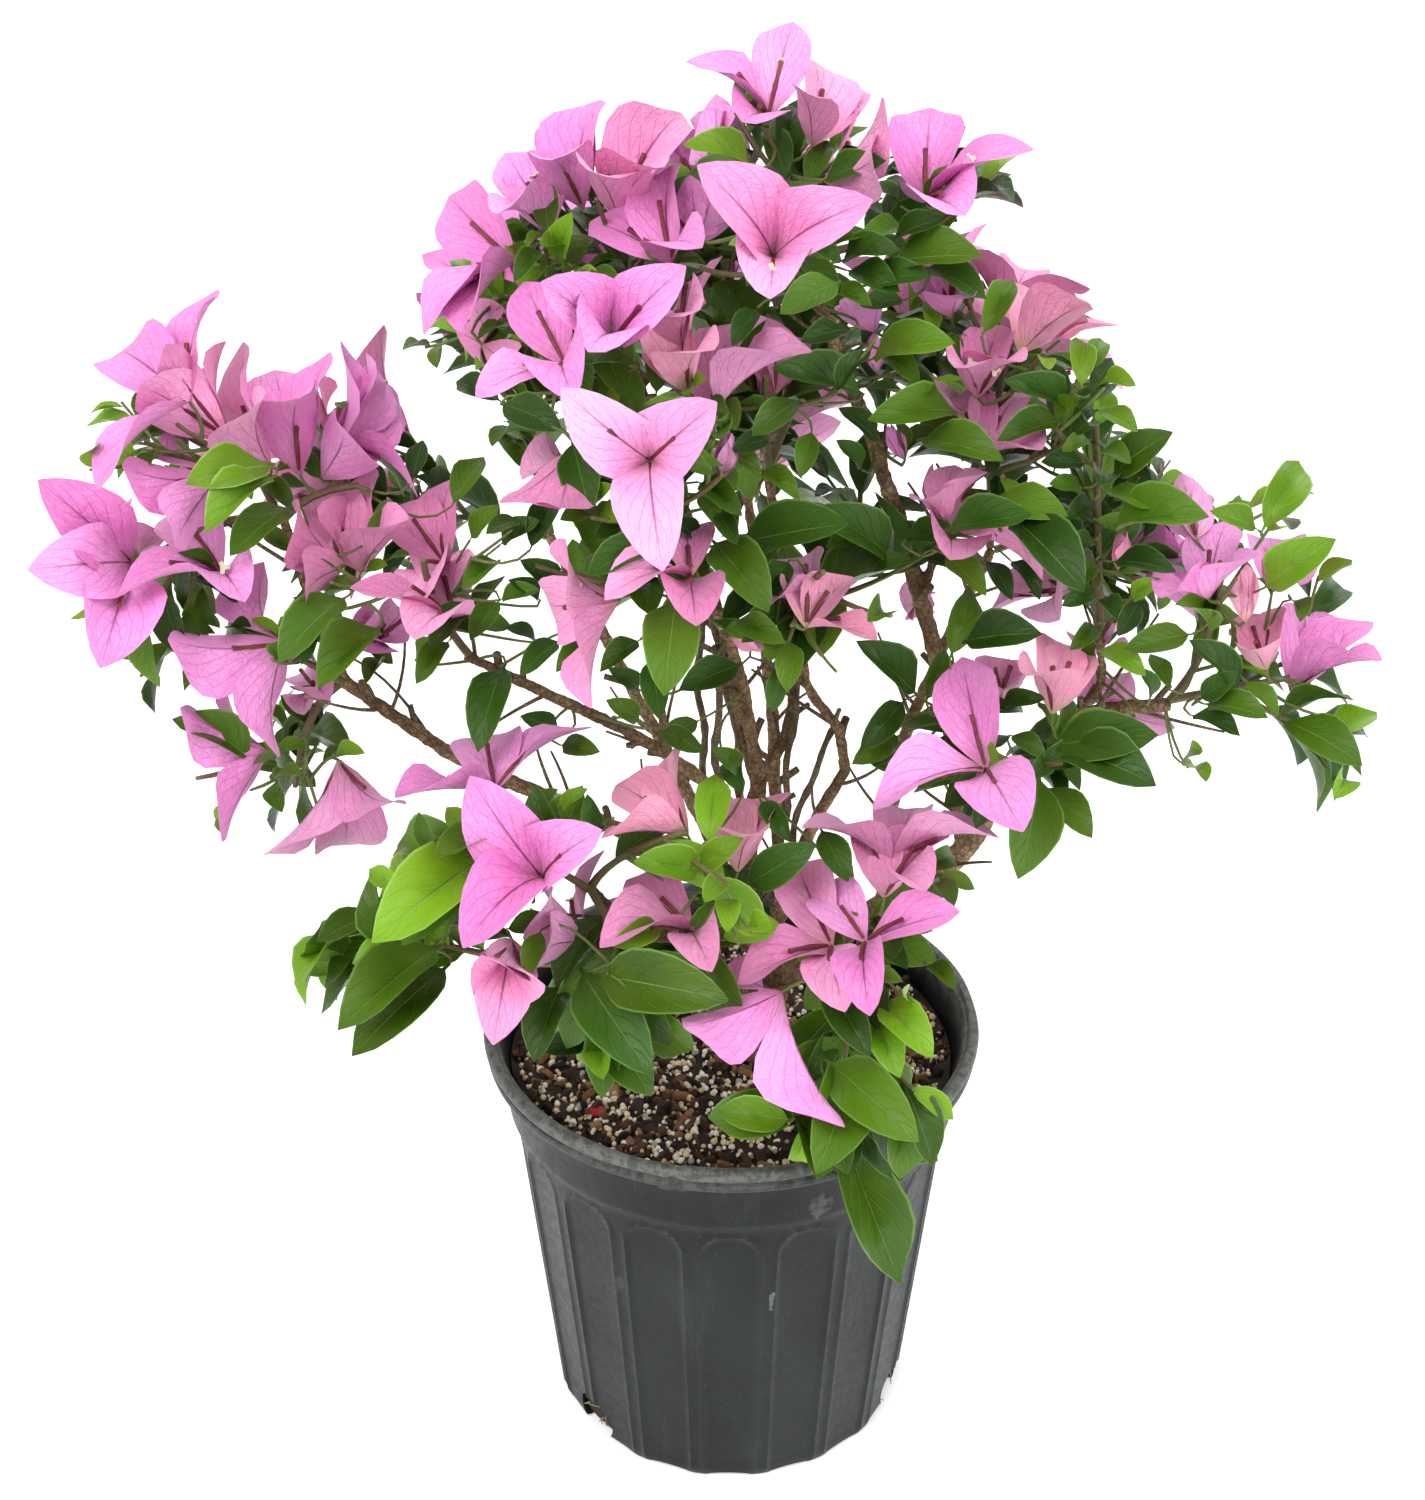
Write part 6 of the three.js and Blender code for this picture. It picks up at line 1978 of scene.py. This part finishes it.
class BUSH_OT_stage(bpy.types.Operator):
    """Set the camera, the pale floor and the soft studio light"""

    bl_idname = "bush.stage"
    bl_label = "Stage"

    def execute(self, context):
        settings = context.scene.bush_stage
        data = bpy.data.cameras.new("camera")
        data.lens = settings.lens
        data.sensor_width = SENSOR
        data.clip_end = 100
        camera = bpy.data.objects.new("camera", data)
        camera.location = EYE * MM
        camera.rotation_euler = (math.pi / 2 - VIEW_TILT, 0, VIEW_TURN)
        context.scene.collection.objects.link(camera)
        context.scene.camera = camera
        deselect()
        bpy.ops.mesh.primitive_plane_add(size=settings.floor_size, location=(0, 0, -0.0002))
        floor = name_piece("floor")
        bpy.ops.object.transform_apply(location=True, rotation=True, scale=True)
        floor.data.materials.append(floor_finish())
        self.lamp("key", (-0.9, -1.5, 2.2), 1.6, settings.key_power)
        self.lamp("fill", (1.5, -1.0, 1.5), 1.5, settings.key_power * 0.45)
        self.lamp("back", (0.2, 1.6, 1.9), 1.5, settings.key_power * 0.5)
        world = bpy.data.worlds.new("studio")
        world.use_nodes = True
        world.node_tree.nodes["Background"].inputs["Color"].default_value = (1, 1, 1, 1)
        world.node_tree.nodes["Background"].inputs["Strength"].default_value = WORLD_STRENGTH
        context.scene.world = world
        context.scene.view_settings.view_transform = "Standard"
        return {"FINISHED"}

    def lamp(self, name, place, size, power):
        """A square soft light that points at the middle of the plant."""
        data = bpy.data.lights.new(name, "AREA")
        data.size = size
        data.energy = power
        lamp = bpy.data.objects.new(name, data)
        lamp.location = place
        aim = np.array(place) - (0, 0, 0.3)
        flat = math.hypot(aim[0], aim[1])
        lamp.rotation_euler = (math.atan2(flat, aim[2]), 0, math.atan2(aim[0], -aim[1]))
        bpy.context.scene.collection.objects.link(lamp)


# ---- The panel, and the whole ----


class BUSH_PT_panel(bpy.types.Panel):
    """Lists the settings and the steps of the potted bougainvillea"""

    bl_idname = "BUSH_PT_panel"
    bl_label = "Potted bougainvillea"
    bl_space_type = "VIEW_3D"
    bl_region_type = "UI"
    bl_category = "Plant"

    def draw(self, context):
        for settings in (context.scene.bush_stage, context.scene.bush_pot, context.scene.bush_plant):
            box = self.layout.box()
            for key in settings.__annotations__:
                box.prop(settings, key)
        for step in STEPS:
            self.layout.operator(step.bl_idname)


STEPS = (
    BUSH_OT_stage, BUSH_OT_pot, BUSH_OT_soil, BUSH_OT_wood, BUSH_OT_shoots, BUSH_OT_leaves,
    BUSH_OT_blossoms,
)
CLASSES = (PotSettings, PlantSettings, StageSettings, *STEPS, BUSH_PT_panel)


def register():
    """Adds the settings, the steps and the panel to Blender."""
    for each in CLASSES:
        bpy.utils.register_class(each)
    scene = bpy.types.Scene
    scene.bush_pot = bpy.props.PointerProperty(type=PotSettings)
    scene.bush_plant = bpy.props.PointerProperty(type=PlantSettings)
    scene.bush_stage = bpy.props.PointerProperty(type=StageSettings)


def unregister():
    """Takes them away again."""
    for name in ("bush_pot", "bush_plant", "bush_stage"):
        delattr(bpy.types.Scene, name)
    for each in reversed(CLASSES):
        bpy.utils.unregister_class(each)


def main():
    """Builds every piece in order."""
    register()
    for step in STEPS:
        area, name = step.bl_idname.split(".")
        getattr(getattr(bpy.ops, area), name)()


if __name__ == "__main__":
    main()
